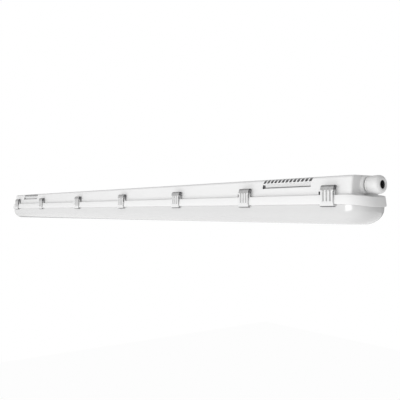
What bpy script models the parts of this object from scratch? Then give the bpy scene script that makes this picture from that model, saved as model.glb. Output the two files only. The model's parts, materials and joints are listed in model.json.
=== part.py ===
"""Vapor tight light fixture, 1500 mm, with hinged cover clips and one cable entry.

Metres. X runs along the fixture towards the cable entry, Z is up, and the
ceiling side lies in the plane z = 0 with the body hanging below it.
"""
import math

import bmesh
import bpy
from mathutils import Vector

for old in list(bpy.data.objects):
    bpy.data.objects.remove(old, do_unlink=True)

# Overall size of the rim, which is the largest outline of the fixture
LENGTH = 1.500
WIDTH = 0.086
HEIGHT = 0.076
RIM_END_FLAT_HALF = 0.005
CORNER_STEPS = 6
HOLE_STEPS = 12
PEG_STEPS = 16
BORE_STEPS = 8

# General clearances
FIT_GAP = 0.0003
RUN_GAP = 0.0004
EMBED = 0.0006
PASS = 0.002

# Housing levels, measured down from the ceiling side
LEDGE_DEPTH = 0.030
RIM_HEIGHT = 0.015
FACET_DEPTH = 0.0205
SHOULDER_DEPTH = 0.0052
WALL = 0.0028
LEDGE_THICK = 0.0024

# Housing plan sizes
BODY_END_INSET = 0.02575
BODY_SIDE_INSET = 0.0082
BODY_CORNER = 0.0036
CAVITY_CORNER = 0.0020
FACET_DRAFT = 0.0006
SHOULDER_DRAFT = 0.0026
TOP_INSET = 0.0088
END_TAPER_SHARE = 0.12
SHOULDER_STEPS = 4
RIM_FLARE = 0.0019
RIM_EDGE = 0.0008
END_DROOP = 0.0046
SKIRT_THICK = 0.0022
GROOVE_WIDTH = 0.0046
GROOVE_WALL = 0.0018
GROOVE_WALL_DROP = 0.008

# Clips and the lugs that they turn on
CLIP_END = 0.066
CLIP_SHARES = (0.0, 0.154, 0.345, 0.526, 0.697, 0.857, 1.0)
CLIP_SHEET = 0.0009
CLIP_PIVOT_INSET = 0.0038
CLIP_PIVOT_DEPTH = 0.019
BEAD_RADIUS = 0.003
BEAD_STEPS = 14
NECK_THICK = 0.0016
BEAD_LENGTH = 0.022
LUG_LENGTH = 0.035
LUG_THICK = 0.0020
LUG_TOP = 0.0245
CLIP_HEAD_HALF = 0.0132
CLIP_WAIST_HALF = 0.0122
CLIP_FOOT_HALF = 0.0139
CLIP_CURL_END = 28.0
CLIP_CURL_STEPS = 8
CLIP_HEAD_DROP = 0.0048
HOOK_RADIUS = 0.0027
CLIP_PROUD = 0.0018
HOOK_CATCH = 0.0012
FLUTE_SPACING = 0.0068
FLUTE_HALF = 0.0016
FLUTE_DEPTH = 0.0005
FLUTE_SHARES = ((0.10, 1.0), (0.68, 1.0), (0.84, 0.0))

# Diffuser
DIFFUSER_WALL = 0.0020
CATCH_LEDGE_LENGTH = 0.031
CATCH_LEDGE_HEIGHT = 0.0022
CATCH_LEDGE_INSET = 0.0010
SHOULDER_LIFT = 0.0010
DIFFUSER_INSET = 0.0032
DIFFUSER_SIDE_DROP = 0.0080
DIFFUSER_SIDE_DRAFT = 0.0008
DIFFUSER_FLAT_INSET = 0.027
DIFFUSER_CURVE_STEPS = 7
UPSTAND_OUTER = 0.0054
UPSTAND_THICK = 0.0020

# Gasket
GASKET_THICK = 0.0034

# Bracket recesses, a channel under a comb of slanted slots
RECESS_FROM_END = 0.13925
RECESS_LENGTH = 0.113
CHANNEL_TOP = 0.0083
CHANNEL_BOTTOM = 0.0155
CHANNEL_DEEP_TOP = 0.0010
CHANNEL_DEEP_BOTTOM = 0.0030
CHANNEL_DRAFT = 0.05
NOTCH_LENGTH = 0.0064
NOTCH_DEEP = 0.0040
SLOT_COUNT = 13
SLOT_WIDTH = 0.0058
SLOT_TOP = 0.0010
SLOT_BOTTOM = 0.0068
SLOT_LEAN = 0.0038
SLOT_DEEP = 0.0040
PAD_THICK = 0.0024
PAD_MARGIN = 0.004
PAD_BOTTOM = 0.0185

# Cable entry
ENTRY_DEPTH = 0.0152
ENTRY_BORE = 0.0102
THREAD_RADIUS = 0.0098
BOSS_BASE_RADIUS = 0.0144
BOSS_TIP_RADIUS = 0.0124
BOSS_LENGTH = 0.005
SEAL_RING_THICK = 0.0016
SEAL_RING_RADIUS = 0.0122
SEAL_RING_EDGE = 0.0004
GLAND_COLLAR_RADIUS = 0.0134
GLAND_COLLAR_LENGTH = 0.0032
GLAND_NECK_RADIUS = 0.0112
GLAND_NECK_LENGTH = 0.0155
GLAND_BORE = 0.0076
SEAL_RADIUS = 0.0094
SEAL_LENGTH = 0.0065
SEAL_BORE = 0.0050
CLAW_RADIUS = 0.0108
CLAW_LENGTH = 0.0030
CLAW_SLIT_SHARE = 0.45
NUT_RADIUS = 0.0144
NUT_BACK_RADIUS = 0.0136
NUT_SWELL_SHARE = 0.55
NUT_DOME_SHARE = 0.4
NUT_LENGTH = 0.0208
NUT_FRONT_RADIUS = 0.0098
NUT_FRONT_LENGTH = 0.0052
NUT_HOLE = 0.0077
NUT_GRIPS = 12
NUT_GRIP_DEPTH = 0.0003
LOCKNUT_THICK = 0.005
THREAD_PROUD = 0.0012
LOCKNUT_FLATS_HALF = 0.0112
TURN_STEPS = 36
SEAL_STEPS = 24
CLAW_STEPS = 48
CLAW_SLIT_EVERY = 4

# Blanking plug in the far end wall
PLUG_HEAD_RADIUS = 0.0130
PLUG_HEAD_THICK = 0.0034
PLUG_SLOT = 0.0020

# Gear tray and its catches
TRAY_END_GAP = 0.03425
TRAY_SIDE_GAP = 0.0058
TRAY_SHEET = 0.0010
TRAY_DEPTH = 0.0290
TRAY_LIP = 0.006
CATCH_FROM_END = 0.215
CATCH_FROM_SIDE = 0.007
PILLAR_RADIUS = 0.0040
CATCH_STEM = 0.0020
CATCH_HOLD = 0.010
CATCH_WING_HALF = 0.0068
CATCH_WING_WIDTH = 0.0048
CATCH_WING_THICK = 0.0018

# LED boards
BOARD_COUNT = 3
BOARD_END_MARGIN = 0.008
BOARD_SPACE = 0.004
BOARD_WIDTH_SHARE = 0.345
BOARD_THICK = 0.0014
LED_COUNT = 24
LED_SIDE = 0.003
LED_THICK = 0.0007

# Driver
DRIVER_PAST_SLOT = 0.032
DRIVER_HALF_LENGTH = 0.120
DRIVER_PAST_BOARD = 0.005
DRIVER_HEIGHT = 0.0200
DRIVER_CORNER = 0.0015
TAB_LENGTH = 0.009
TAB_THICK = 0.002
TAB_LIFT = 0.00015
SCREW_PAST_BOARD = 0.0024
SCREW_RADIUS = 0.0015
SCREW_HEAD_RADIUS = 0.0028
SCREW_HEAD_THICK = 0.0018
SCREW_LENGTH = 0.006
SCREW_SLOT_HALF = 0.0004

# Terminal block
BLOCK_FROM_END = 0.038
BLOCK_HALF_LENGTH = 0.0105
BLOCK_HALF_WIDTH = 0.0105
BLOCK_HEIGHT = 0.0105
BLOCK_BORE_DEPTH = 0.008
POLE_COUNT = 3
POLE_PITCH = 0.0062
POLE_ENTRY_HALF = 0.0017
LEVER_HALF_WIDTH = 0.0023
LEVER_LENGTH = 0.0105
LEVER_THICK = 0.0016
LEVER_PIVOT = 0.0012

PEG_RADIUS = 0.0016

# Leads and where they run
LEAD_RADIUS = 0.0011
LEAD_STEPS = 6
LEAD_DEPTH = 0.0190
LEAD_HOLD = 0.004
LEAD_FAN = 0.012
LEAD_FALL = 0.032
LEAD_GATHER = 0.016
EARTH_FALL = 0.024
OUTPUT_FAN = 0.008
OUTPUT_SWAY = 0.0022
SOCKET_TURN = 0.0033
SOCKET_GRIP = 0.0024
LEAD_SLOT_PAST_SOCKET = 0.0155
LEAD_SLOT_Y = 0.0158
LEAD_SLOT_LENGTH = 0.022
LEAD_SLOT_WIDTH = 0.006
LEAD_LANE = 0.0015
OUTPUT_PITCH = 0.005
SOCKET_FROM_END = 0.0635
SOCKET_HALF = 0.0048
SOCKET_IN = 0.0030
SOCKET_HIGH = 0.0036
SOCKET_PITCH = 0.0044
LINK_HALF = 0.007
LINK_WIDTH = 0.008
LINK_THICK = 0.0024
EARTH_FROM_END = 0.100
EARTH_FROM_SIDE = 0.011
EARTH_LUG_RADIUS = 0.0034
EARTH_LUG_THICK = 0.0008
EARTH_TONGUE_LIFT = 0.0001

RIM_BOTTOM = LEDGE_DEPTH + RIM_HEIGHT
HALF_LENGTH = LENGTH / 2
HALF_WIDTH = WIDTH / 2
RIM_RADIUS = HALF_WIDTH - RIM_END_FLAT_HALF
ROOF_DEPTH = LEDGE_DEPTH + LEDGE_THICK
END_WALL = HALF_LENGTH - BODY_END_INSET
BODY_WIDTH = WIDTH - 2 * BODY_SIDE_INSET
CLIP_PIVOT_OUT = HALF_WIDTH - CLIP_PIVOT_INSET
CLIP_BODY_OUT = HALF_WIDTH + CLIP_PROUD
TRAY_HALF_WIDTH = BODY_WIDTH / 2 - TRAY_SIDE_GAP
RECESS_CENTRE = END_WALL - RECESS_FROM_END
TRAY_HALF_LENGTH = END_WALL - TRAY_END_GAP
CATCH_X = TRAY_HALF_LENGTH - CATCH_FROM_END
CATCH_Y = TRAY_HALF_WIDTH - CATCH_FROM_SIDE
BOARD_HALF_WIDTH = BOARD_WIDTH_SHARE * TRAY_HALF_WIDTH
DRIVER_HALF_WIDTH = BOARD_HALF_WIDTH + DRIVER_PAST_BOARD
SCREW_OUT = BOARD_HALF_WIDTH + SCREW_PAST_BOARD
BOARDS_SPAN = 2 * (TRAY_HALF_LENGTH - BOARD_END_MARGIN)
BOARD_SPACING = (BOARDS_SPAN + BOARD_SPACE) / BOARD_COUNT
BOARD_LENGTH = BOARD_SPACING - BOARD_SPACE
SOCKET_X = BOARD_LENGTH / 2 - SOCKET_FROM_END
LEAD_SLOT_X = SOCKET_X + LEAD_SLOT_PAST_SOCKET
DRIVER_X = LEAD_SLOT_X + DRIVER_PAST_SLOT + DRIVER_HALF_LENGTH
BLOCK_X = TRAY_HALF_LENGTH - BLOCK_FROM_END
EARTH_X = TRAY_HALF_LENGTH - EARTH_FROM_END
EARTH_Y = TRAY_HALF_WIDTH - EARTH_FROM_SIDE
SIDE_INSET = FACET_DRAFT + SHOULDER_DRAFT
GROOVE_OUTER = SKIRT_THICK + RIM_FLARE
GROOVE_INNER = GROOVE_OUTER + GROOVE_WIDTH
CLIP_SPAN = HALF_LENGTH - CLIP_END
CLIP_PLACES = tuple((2 * share - 1) * CLIP_SPAN for share in CLIP_SHARES)
BLOCK_ENTRY = TRAY_DEPTH - FIT_GAP - BLOCK_HEIGHT / 2 + EMBED
SCREW_ALONG = DRIVER_HALF_LENGTH + TAB_LENGTH / 2
SCREW_PLACES = ((DRIVER_X - SCREW_ALONG, -SCREW_OUT), (DRIVER_X + SCREW_ALONG, SCREW_OUT))
POLE_PLACES = (-POLE_PITCH, 0.0, POLE_PITCH)
OUTPUT_PLACES = (-OUTPUT_PITCH / 2, OUTPUT_PITCH / 2)
CATCH_PLACES = [(x, y) for x in (-CATCH_X, CATCH_X) for y in (-CATCH_Y, CATCH_Y)]


def material(name, colour, roughness, metallic=0.0):
    made = bpy.data.materials.new(name)
    made.use_nodes = True
    shader = made.node_tree.nodes["Principled BSDF"]
    shader.inputs["Base Color"].default_value = (*colour, 1.0)
    shader.inputs["Roughness"].default_value = roughness
    shader.inputs["Metallic"].default_value = metallic
    return made


def finish(name, bm, look, origin=(0.0, 0.0, 0.0)):
    """Turns a bmesh in world metres into a named object with its origin where asked."""
    bmesh.ops.recalc_face_normals(bm, faces=bm.faces)
    bmesh.ops.translate(bm, vec=-Vector(origin), verts=bm.verts)
    mesh = bpy.data.meshes.new(name)
    bm.to_mesh(mesh)
    bm.free()
    obj = bpy.data.objects.new(name, mesh)
    obj.location = origin
    bpy.context.scene.collection.objects.link(obj)
    if look is not None:
        mesh.materials.append(look)
    return obj


def combine(target, tool, operation):
    """Applies one exact Boolean and removes the tool."""
    step = target.modifiers.new("step", "BOOLEAN")
    step.operation = operation
    step.solver = "EXACT"
    step.object = tool
    bpy.context.view_layer.update()
    graph = bpy.context.evaluated_depsgraph_get()
    result = bpy.data.meshes.new_from_object(target.evaluated_get(graph))
    target.modifiers.clear()
    target.data = result
    bpy.data.objects.remove(tool, do_unlink=True)


def outline(half_x, half_y, radius, steps=CORNER_STEPS):
    """Points of a rounded rectangle, counter clockwise from the +X side."""
    points = []
    corners = ((1, 1, 0.0), (-1, 1, 90.0), (-1, -1, 180.0), (1, -1, 270.0))
    for sign_x, sign_y, start in corners:
        centre_x = sign_x * (half_x - radius)
        centre_y = sign_y * (half_y - radius)
        for step in range(steps + 1):
            turn = math.radians(start + 90.0 * step / steps)
            x = centre_x + radius * math.cos(turn)
            y = centre_y + radius * math.sin(turn)
            points.append((x, y))
    return points


def bridge(bm, first, second):
    for here in range(len(first)):
        there = (here + 1) % len(first)
        bm.faces.new((first[here], first[there], second[there], second[here]))


def stack(rings, closed=False):
    """Body through rings of (half x, half y, corner radius, depth, droop share)."""
    bm = bmesh.new()
    loops = []
    for half_x, half_y, radius, depth, share in rings:
        row = []
        for x, y in outline(half_x, half_y, radius):
            row.append(bm.verts.new((x, y, -depth - share * droop(x))))
        loops.append(row)
    for above, below in zip(loops, loops[1:]):
        bridge(bm, above, below)
    if closed:
        bridge(bm, loops[-1], loops[0])
    else:
        bm.faces.new(loops[0])
        bm.faces.new(list(reversed(loops[-1])))
    return bm


def add_box(bm, low, high):
    corners = []
    for x in (low[0], high[0]):
        for y in (low[1], high[1]):
            for z in (low[2], high[2]):
                corners.append(bm.verts.new((x, y, z)))
    for quad in ((0, 1, 3, 2), (4, 6, 7, 5), (0, 4, 5, 1), (2, 3, 7, 6), (0, 2, 6, 4), (1, 5, 7, 3)):
        bm.faces.new([corners[index] for index in quad])


def add_prism(bm, points, start, end, axis):
    """Extrudes a closed outline of pairs along an axis between two places."""
    ends = []
    for place in (start, end):
        row = []
        for u, v in points:
            spot = {"X": (place, u, v), "Y": (u, place, v), "Z": (u, v, place)}[axis]
            row.append(bm.verts.new(spot))
        ends.append(row)
    bridge(bm, ends[0], ends[1])
    bm.faces.new(ends[0])
    bm.faces.new(list(reversed(ends[1])))


def circle(u, v, radius, steps, phase=0.0):
    points = []
    for step in range(steps):
        turn = math.radians(phase + 360.0 * step / steps)
        points.append((u + radius * math.cos(turn), v + radius * math.sin(turn)))
    return points


def turned(profile, depth, steps=TURN_STEPS, grip=None):
    """Ring body about an X axis at a depth, from a closed outline of (x, radius)."""
    bm = bmesh.new()
    loops = []
    for step in range(steps):
        turn = math.radians(360.0 * step / steps)
        row = []
        for x, radius in profile:
            if grip is not None:
                radius = grip(x, radius, step)
            spot = (x, radius * math.sin(turn), radius * math.cos(turn) - depth)
            row.append(bm.verts.new(spot))
        loops.append(row)
    for step in range(steps):
        bridge(bm, loops[step], loops[(step + 1) % steps])
    return bm


def tube(points, radius, steps=LEAD_STEPS):
    """Round lead through the points, with a square cut at each end."""
    bm = bmesh.new()
    path = [Vector(point) for point in points]
    loops = []
    side = None
    for index, here in enumerate(path):
        before = path[max(index - 1, 0)]
        after = path[min(index + 1, len(path) - 1)]
        along = (after - before).normalized()
        if side is None:
            side = along.orthogonal().normalized()
        side = (side - along * side.dot(along)).normalized()
        other = along.cross(side)
        row = []
        for u, v in circle(0.0, 0.0, radius, steps):
            row.append(bm.verts.new(here + side * u + other * v))
        loops.append(row)
    for first, second in zip(loops, loops[1:]):
        bridge(bm, first, second)
    bm.faces.new(loops[0])
    bm.faces.new(list(reversed(loops[-1])))
    return bm


def rim_ring(inset, depth, share=1.0):
    """Ring that follows the rim, set in from its lowest outer edge."""
    return (HALF_LENGTH - inset, HALF_WIDTH - inset, RIM_RADIUS - inset, depth, share)


def droop(x):
    """How far the rim line has dipped at a place along the fixture."""
    past = max(0.0, abs(x) - HALF_LENGTH + RIM_RADIUS)
    return END_DROOP * (past / RIM_RADIUS) ** 2


def body_ring(inset, depth):
    """Ring that follows the upper body, set in from its widest outline."""
    return (END_WALL - END_TAPER_SHARE * inset, BODY_WIDTH / 2 - inset, BODY_CORNER, depth, 0.0)


def cavity_ring(inset, depth):
    """Ring of the hollow inside the upper body."""
    half_x = END_WALL - WALL - END_TAPER_SHARE * TOP_INSET
    return (half_x, BODY_WIDTH / 2 - WALL - inset, CAVITY_CORNER, depth, 0.0)


def facet_half(depth):
    """Half width of the upper side facet at a depth."""
    share = (depth - SHOULDER_DEPTH) / (FACET_DEPTH - SHOULDER_DEPTH)
    top = BODY_WIDTH / 2 - SIDE_INSET
    return top + share * (SIDE_INSET - FACET_DRAFT)


housing_look = material("housing_polycarbonate", (0.80, 0.80, 0.80), 0.42)
diffuser_look = material("opal_diffuser", (0.90, 0.90, 0.88), 0.35)
steel_look = material("stainless_sheet", (0.72, 0.72, 0.73), 0.28, 1.0)
gasket_look = material("poured_gasket", (0.22, 0.22, 0.23), 0.85)
tray_look = material("white_enamelled_steel", (0.88, 0.88, 0.87), 0.45)
board_look = material("white_board", (0.86, 0.87, 0.84), 0.5)
driver_look = material("driver_case", (0.82, 0.82, 0.80), 0.5)
block_look = material("terminal_plastic", (0.78, 0.79, 0.80), 0.5)
lever_look = material("terminal_lever", (0.80, 0.34, 0.06), 0.45)
zinc_look = material("zinc_plated", (0.66, 0.66, 0.64), 0.35, 1.0)
nylon_look = material("grey_nylon", (0.74, 0.74, 0.74), 0.5)
rubber_look = material("black_rubber", (0.03, 0.03, 0.03), 0.8)
live_look = material("lead_brown", (0.22, 0.09, 0.04), 0.55)
neutral_look = material("lead_blue", (0.05, 0.16, 0.50), 0.55)
earth_look = material("lead_green_yellow", (0.30, 0.55, 0.06), 0.55)
red_look = material("lead_red", (0.60, 0.04, 0.03), 0.55)
black_look = material("lead_black", (0.03, 0.03, 0.035), 0.55)


def make_housing():
    rings = []
    for step in range(SHOULDER_STEPS + 1):
        turn = math.radians(90.0 * step / SHOULDER_STEPS)
        inset = SIDE_INSET + (TOP_INSET - SIDE_INSET) * (1 - math.sin(turn))
        rings.append(body_ring(inset, SHOULDER_DEPTH * (1 - math.cos(turn))))
    rings.append(body_ring(FACET_DRAFT, FACET_DEPTH))
    rings.append(body_ring(0.0, LEDGE_DEPTH))
    rings.append(rim_ring(RIM_FLARE + RIM_EDGE, LEDGE_DEPTH))
    rings.append(rim_ring(RIM_FLARE, LEDGE_DEPTH + RIM_EDGE))
    rings.append(rim_ring(0.0, RIM_BOTTOM - RIM_EDGE))
    rings.append(rim_ring(RIM_EDGE, RIM_BOTTOM))
    rings.append(rim_ring(SKIRT_THICK, RIM_BOTTOM))
    rings.append(rim_ring(GROOVE_OUTER, ROOF_DEPTH))
    rings.append(rim_ring(GROOVE_INNER, ROOF_DEPTH))
    rings.append(rim_ring(GROOVE_INNER, ROOF_DEPTH + GROOVE_WALL_DROP))
    rings.append(rim_ring(GROOVE_INNER + GROOVE_WALL, ROOF_DEPTH + GROOVE_WALL_DROP))
    rings.append(rim_ring(GROOVE_INNER + GROOVE_WALL, ROOF_DEPTH))
    rings.append(cavity_ring(0.0, ROOF_DEPTH))
    rings.append(cavity_ring(FACET_DRAFT, FACET_DEPTH))
    rings.append(cavity_ring(SIDE_INSET, SHOULDER_DEPTH))
    rings.append(cavity_ring(TOP_INSET, WALL))
    housing = finish("housing", stack(rings), housing_look)

    # Thicker wall behind each bracket recess
    pads = bmesh.new()
    inner_top = BODY_WIDTH / 2 - WALL - SIDE_INSET
    for end in (-1, 1):
        for side in (-1, 1):
            half = RECESS_LENGTH / 2 + PAD_MARGIN
            low_in = facet_half(PAD_BOTTOM) - WALL
            section = (
                (side * (inner_top - PAD_THICK - WALL / 2), -WALL + EMBED),
                (side * (inner_top - PAD_THICK), -SHOULDER_DEPTH),
                (side * (low_in - PAD_THICK), -PAD_BOTTOM),
                (side * (low_in + WALL / 2), -PAD_BOTTOM),
                (side * (inner_top + WALL / 2), -SHOULDER_DEPTH),
                (side * (inner_top - WALL / 2), -WALL + EMBED),
            )
            middle = end * RECESS_CENTRE
            add_prism(pads, section, middle - half, middle + half, "X")
    combine(housing, finish("pads", pads, None), "UNION")

    # Pillars for the tray catches
    pillars = bmesh.new()
    for x, y in CATCH_PLACES:
        ring = circle(x, y, PILLAR_RADIUS, PEG_STEPS)
        add_prism(pillars, ring, -WALL / 2, FIT_GAP - TRAY_DEPTH, "Z")
    combine(housing, finish("pillars", pillars, None), "UNION")
    holes = bmesh.new()
    for x, y in CATCH_PLACES:
        ring = circle(x, y, CATCH_STEM + FIT_GAP, HOLE_STEPS)
        add_prism(holes, ring, CATCH_HOLD + FIT_GAP - TRAY_DEPTH, -TRAY_DEPTH - PASS, "Z")
    combine(housing, finish("holes", holes, None), "DIFFERENCE")

    # Lugs on the ledge, each with a bead that a clip turns on
    bases = bmesh.new()
    necks = bmesh.new()
    beads = bmesh.new()
    for place in CLIP_PLACES:
        for side in (-1, 1):
            out = side * CLIP_PIVOT_OUT
            half = LUG_THICK / 2
            low = (place - LUG_LENGTH / 2, out - half, -LEDGE_DEPTH - EMBED)
            high = (place + LUG_LENGTH / 2, out + half, -LUG_TOP)
            add_box(bases, low, high)
            half = NECK_THICK / 2
            low = (place - BEAD_LENGTH / 2, out - half, -LUG_TOP - EMBED)
            high = (place + BEAD_LENGTH / 2, out + half, -CLIP_PIVOT_DEPTH)
            add_box(necks, low, high)
            ring = circle(out, -CLIP_PIVOT_DEPTH, BEAD_RADIUS, BEAD_STEPS)
            half = BEAD_LENGTH / 2 + EMBED
            add_prism(beads, ring, place - half, place + half, "X")
    combine(housing, finish("bases", bases, None), "UNION")
    combine(housing, finish("necks", necks, None), "UNION")
    combine(housing, finish("beads", beads, None), "UNION")

    # Cable entry boss and the seat of the blanking plug
    tip = END_WALL + BOSS_LENGTH
    boss = turned(
        (
            (END_WALL - WALL / 2, BOSS_BASE_RADIUS),
            (END_WALL, BOSS_BASE_RADIUS),
            (tip, BOSS_TIP_RADIUS),
            (tip, ENTRY_BORE / 2),
            (END_WALL - WALL / 2, ENTRY_BORE / 2),
        ),
        ENTRY_DEPTH,
    )
    combine(housing, finish("boss", boss, None), "UNION")
    seat = turned(
        (
            (WALL / 2 - END_WALL, ENTRY_BORE / 2),
            (-END_WALL - EMBED, ENTRY_BORE / 2),
            (-END_WALL - EMBED, PLUG_HEAD_RADIUS + EMBED),
            (WALL / 2 - END_WALL, PLUG_HEAD_RADIUS + EMBED),
        ),
        ENTRY_DEPTH,
    )
    combine(housing, finish("seat", seat, None), "UNION")
    bores = bmesh.new()
    ring = circle(0.0, -ENTRY_DEPTH, ENTRY_BORE, TURN_STEPS)
    add_prism(bores, ring, END_WALL - WALL - PASS, tip + PASS, "X")
    add_prism(bores, ring, -END_WALL - PASS, PASS + WALL - END_WALL, "X")
    combine(housing, finish("bores", bores, None), "DIFFERENCE")

    # Bracket recesses
    channels = bmesh.new()
    notches = bmesh.new()
    slots = bmesh.new()
    slot_pitch = (RECESS_LENGTH - SLOT_WIDTH) / (SLOT_COUNT - 1)
    high = facet_half(CHANNEL_TOP)
    low = facet_half(CHANNEL_BOTTOM)
    floor_in = high - CHANNEL_DEEP_TOP - low + CHANNEL_DEEP_BOTTOM
    floor_lean = floor_in / (CHANNEL_BOTTOM - CHANNEL_TOP)
    flare = (CHANNEL_DEEP_BOTTOM + PASS) * (floor_lean + CHANNEL_DRAFT)
    for end in (-1, 1):
        start = end * RECESS_CENTRE - RECESS_LENGTH / 2
        for side in (-1, 1):
            section = (
                (side * (high - CHANNEL_DEEP_TOP), -CHANNEL_TOP),
                (side * (low - CHANNEL_DEEP_BOTTOM), -CHANNEL_BOTTOM),
                (side * (low + PASS), -CHANNEL_BOTTOM - flare),
                (side * (high + PASS), -CHANNEL_TOP),
            )
            add_prism(channels, section, start, start + RECESS_LENGTH, "X")
            section = (
                (side * (high - NOTCH_DEEP), EMBED - CHANNEL_TOP),
                (side * (low - NOTCH_DEEP), -EMBED - CHANNEL_BOTTOM),
                (side * (low + PASS), -EMBED - CHANNEL_BOTTOM - flare),
                (side * (high + PASS), EMBED - CHANNEL_TOP),
            )
            add_prism(notches, section, start - EMBED, start - EMBED + NOTCH_LENGTH, "X")
            for index in range(SLOT_COUNT):
                x = start + index * slot_pitch
                section = (
                    (x, -SLOT_BOTTOM),
                    (x + SLOT_WIDTH, -SLOT_BOTTOM),
                    (x + SLOT_WIDTH + SLOT_LEAN, -SLOT_TOP),
                    (x + SLOT_LEAN, -SLOT_TOP),
                )
                floor = side * (facet_half(SLOT_BOTTOM) - SLOT_DEEP)
                add_prism(slots, section, floor, side * (HALF_WIDTH - PASS), "Y")
    combine(housing, finish("channels", channels, None), "DIFFERENCE")
    combine(housing, finish("notches", notches, None), "DIFFERENCE")
    combine(housing, finish("slots", slots, None), "DIFFERENCE")
    return housing


make_housing()


def make_gasket():
    top = ROOF_DEPTH + FIT_GAP
    low = top + GASKET_THICK
    outer = GROOVE_OUTER + FIT_GAP
    inner = GROOVE_INNER - FIT_GAP
    rings = (
        rim_ring(outer, top),
        rim_ring(outer, low),
        rim_ring(inner, low),
        rim_ring(inner, top),
    )
    return finish("gasket", stack(rings, closed=True), gasket_look)


def make_diffuser():
    upstand_top = ROOF_DEPTH + FIT_GAP + GASKET_THICK + FIT_GAP
    shoulder = RIM_BOTTOM - SHOULDER_LIFT
    side_low = RIM_BOTTOM + DIFFUSER_SIDE_DROP
    upstand_inner = UPSTAND_OUTER + UPSTAND_THICK
    curve_inset = DIFFUSER_INSET + DIFFUSER_SIDE_DRAFT
    curve_wide = DIFFUSER_FLAT_INSET - curve_inset
    curve_high = HEIGHT - side_low
    outside = [
        rim_ring(UPSTAND_OUTER, upstand_top),
        rim_ring(UPSTAND_OUTER, shoulder),
        rim_ring(DIFFUSER_INSET, shoulder),
    ]
    inside = [
        rim_ring(upstand_inner, upstand_top),
        rim_ring(upstand_inner, shoulder + DIFFUSER_WALL - EMBED),
        rim_ring(DIFFUSER_INSET + DIFFUSER_WALL, shoulder + DIFFUSER_WALL + EMBED),
    ]
    for step in range(DIFFUSER_CURVE_STEPS + 1):
        turn = math.radians(90.0 * step / DIFFUSER_CURVE_STEPS)
        across = 1 - math.cos(turn)
        down = math.sin(turn)
        inset = curve_inset + curve_wide * across
        outside.append(rim_ring(inset, side_low + curve_high * down, 1 - down))
        depth = side_low + (curve_high - DIFFUSER_WALL) * down
        inside.append(rim_ring(inset + DIFFUSER_WALL, depth, 1 - down))
    rings = list(reversed(inside)) + outside
    diffuser = finish("diffuser", stack(rings), diffuser_look)
    ledges = bmesh.new()
    top = RIM_BOTTOM + FIT_GAP
    for place in CLIP_PLACES:
        for side in (-1, 1):
            half = CATCH_LEDGE_LENGTH / 2
            inner = side * (HALF_WIDTH - DIFFUSER_INSET - EMBED)
            outer = side * (HALF_WIDTH - CATCH_LEDGE_INSET)
            low_corner = (place - half, min(inner, outer), -top - CATCH_LEDGE_HEIGHT)
            add_box(ledges, low_corner, (place + half, max(inner, outer), -top))
    combine(diffuser, finish("ledges", ledges, None), "UNION")


def clip_path():
    """Middle line of the sheet as (out from the pivot, up from the pivot, half width, flute share)."""
    middle = BEAD_RADIUS + RUN_GAP + CLIP_SHEET / 2
    body_out = CLIP_BODY_OUT - CLIP_SHEET / 2 - CLIP_PIVOT_OUT
    ledge_low = RIM_BOTTOM + FIT_GAP + CATCH_LEDGE_HEIGHT
    hook_level = ledge_low + RUN_GAP + CLIP_SHEET / 2 - CLIP_PIVOT_DEPTH
    hook_tip = HALF_WIDTH - CATCH_LEDGE_INSET - HOOK_CATCH - CLIP_PIVOT_OUT
    points = []
    for step in range(CLIP_CURL_STEPS + 1):
        turn = math.radians(CLIP_CURL_END + (180.0 - CLIP_CURL_END) * step / CLIP_CURL_STEPS)
        points.append((-middle * math.cos(turn), middle * math.sin(turn), CLIP_HEAD_HALF, 0.0))
    top = -CLIP_HEAD_DROP
    low = HOOK_RADIUS - hook_level
    points.append((body_out, top, CLIP_HEAD_HALF, 0.0))
    for down, press in FLUTE_SHARES:
        points.append((body_out, top + down * (low - top), CLIP_WAIST_HALF, press))
    points.append((body_out, low, CLIP_FOOT_HALF, 0.0))
    for turn in (45.0, 90.0):
        out = body_out - HOOK_RADIUS * (1 - math.cos(math.radians(turn)))
        up = low - HOOK_RADIUS * math.sin(math.radians(turn))
        points.append((out, up, CLIP_FOOT_HALF, 0.0))
    points.append((hook_tip, -hook_level, CLIP_FOOT_HALF, 0.0))
    return points


def make_clip(name, place, side):
    path = clip_path()
    bm = bmesh.new()
    flute = (-1.0, 0.0, 1.0)
    layers = []
    for face in (-1, 1):
        rows = []
        for index, (out, up, half, share) in enumerate(path):
            before = path[max(index - 1, 0)]
            after = path[min(index + 1, len(path) - 1)]
            along = Vector((after[0] - before[0], after[1] - before[1])).normalized()
            normal = Vector((-along.y, along.x))
            stations = [(-half, 0.0)]
            for centre in flute:
                stations.append((centre * FLUTE_SPACING - FLUTE_HALF, 0.0))
                stations.append((centre * FLUTE_SPACING, share))
                stations.append((centre * FLUTE_SPACING + FLUTE_HALF, 0.0))
            stations.append((half, 0.0))
            row = []
            for x, press in stations:
                shift = face * CLIP_SHEET / 2 - press * FLUTE_DEPTH
                spot = Vector((out, up)) + normal * shift
                y = side * (CLIP_PIVOT_OUT + spot.x)
                row.append(bm.verts.new((place + x, y, spot.y - CLIP_PIVOT_DEPTH)))
            rows.append(row)
        layers.append(rows)
    inner, outer = layers
    last = len(path) - 1
    wide = len(inner[0]) - 1
    for index in range(last):
        for station in range(wide):
            for rows in layers:
                here = rows[index]
                there = rows[index + 1]
                near = (here[station], here[station + 1])
                bm.faces.new((*near, there[station + 1], there[station]))
        for station in (0, wide):
            edge = (inner[index][station], outer[index][station])
            bm.faces.new((*edge, outer[index + 1][station], inner[index + 1][station]))
    for station in range(wide):
        for index in (0, last):
            edge = (inner[index][station], inner[index][station + 1])
            bm.faces.new((*edge, outer[index][station + 1], outer[index][station]))
    pivot = (place, side * CLIP_PIVOT_OUT, -CLIP_PIVOT_DEPTH)
    return finish(name, bm, steel_look, pivot)


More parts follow.
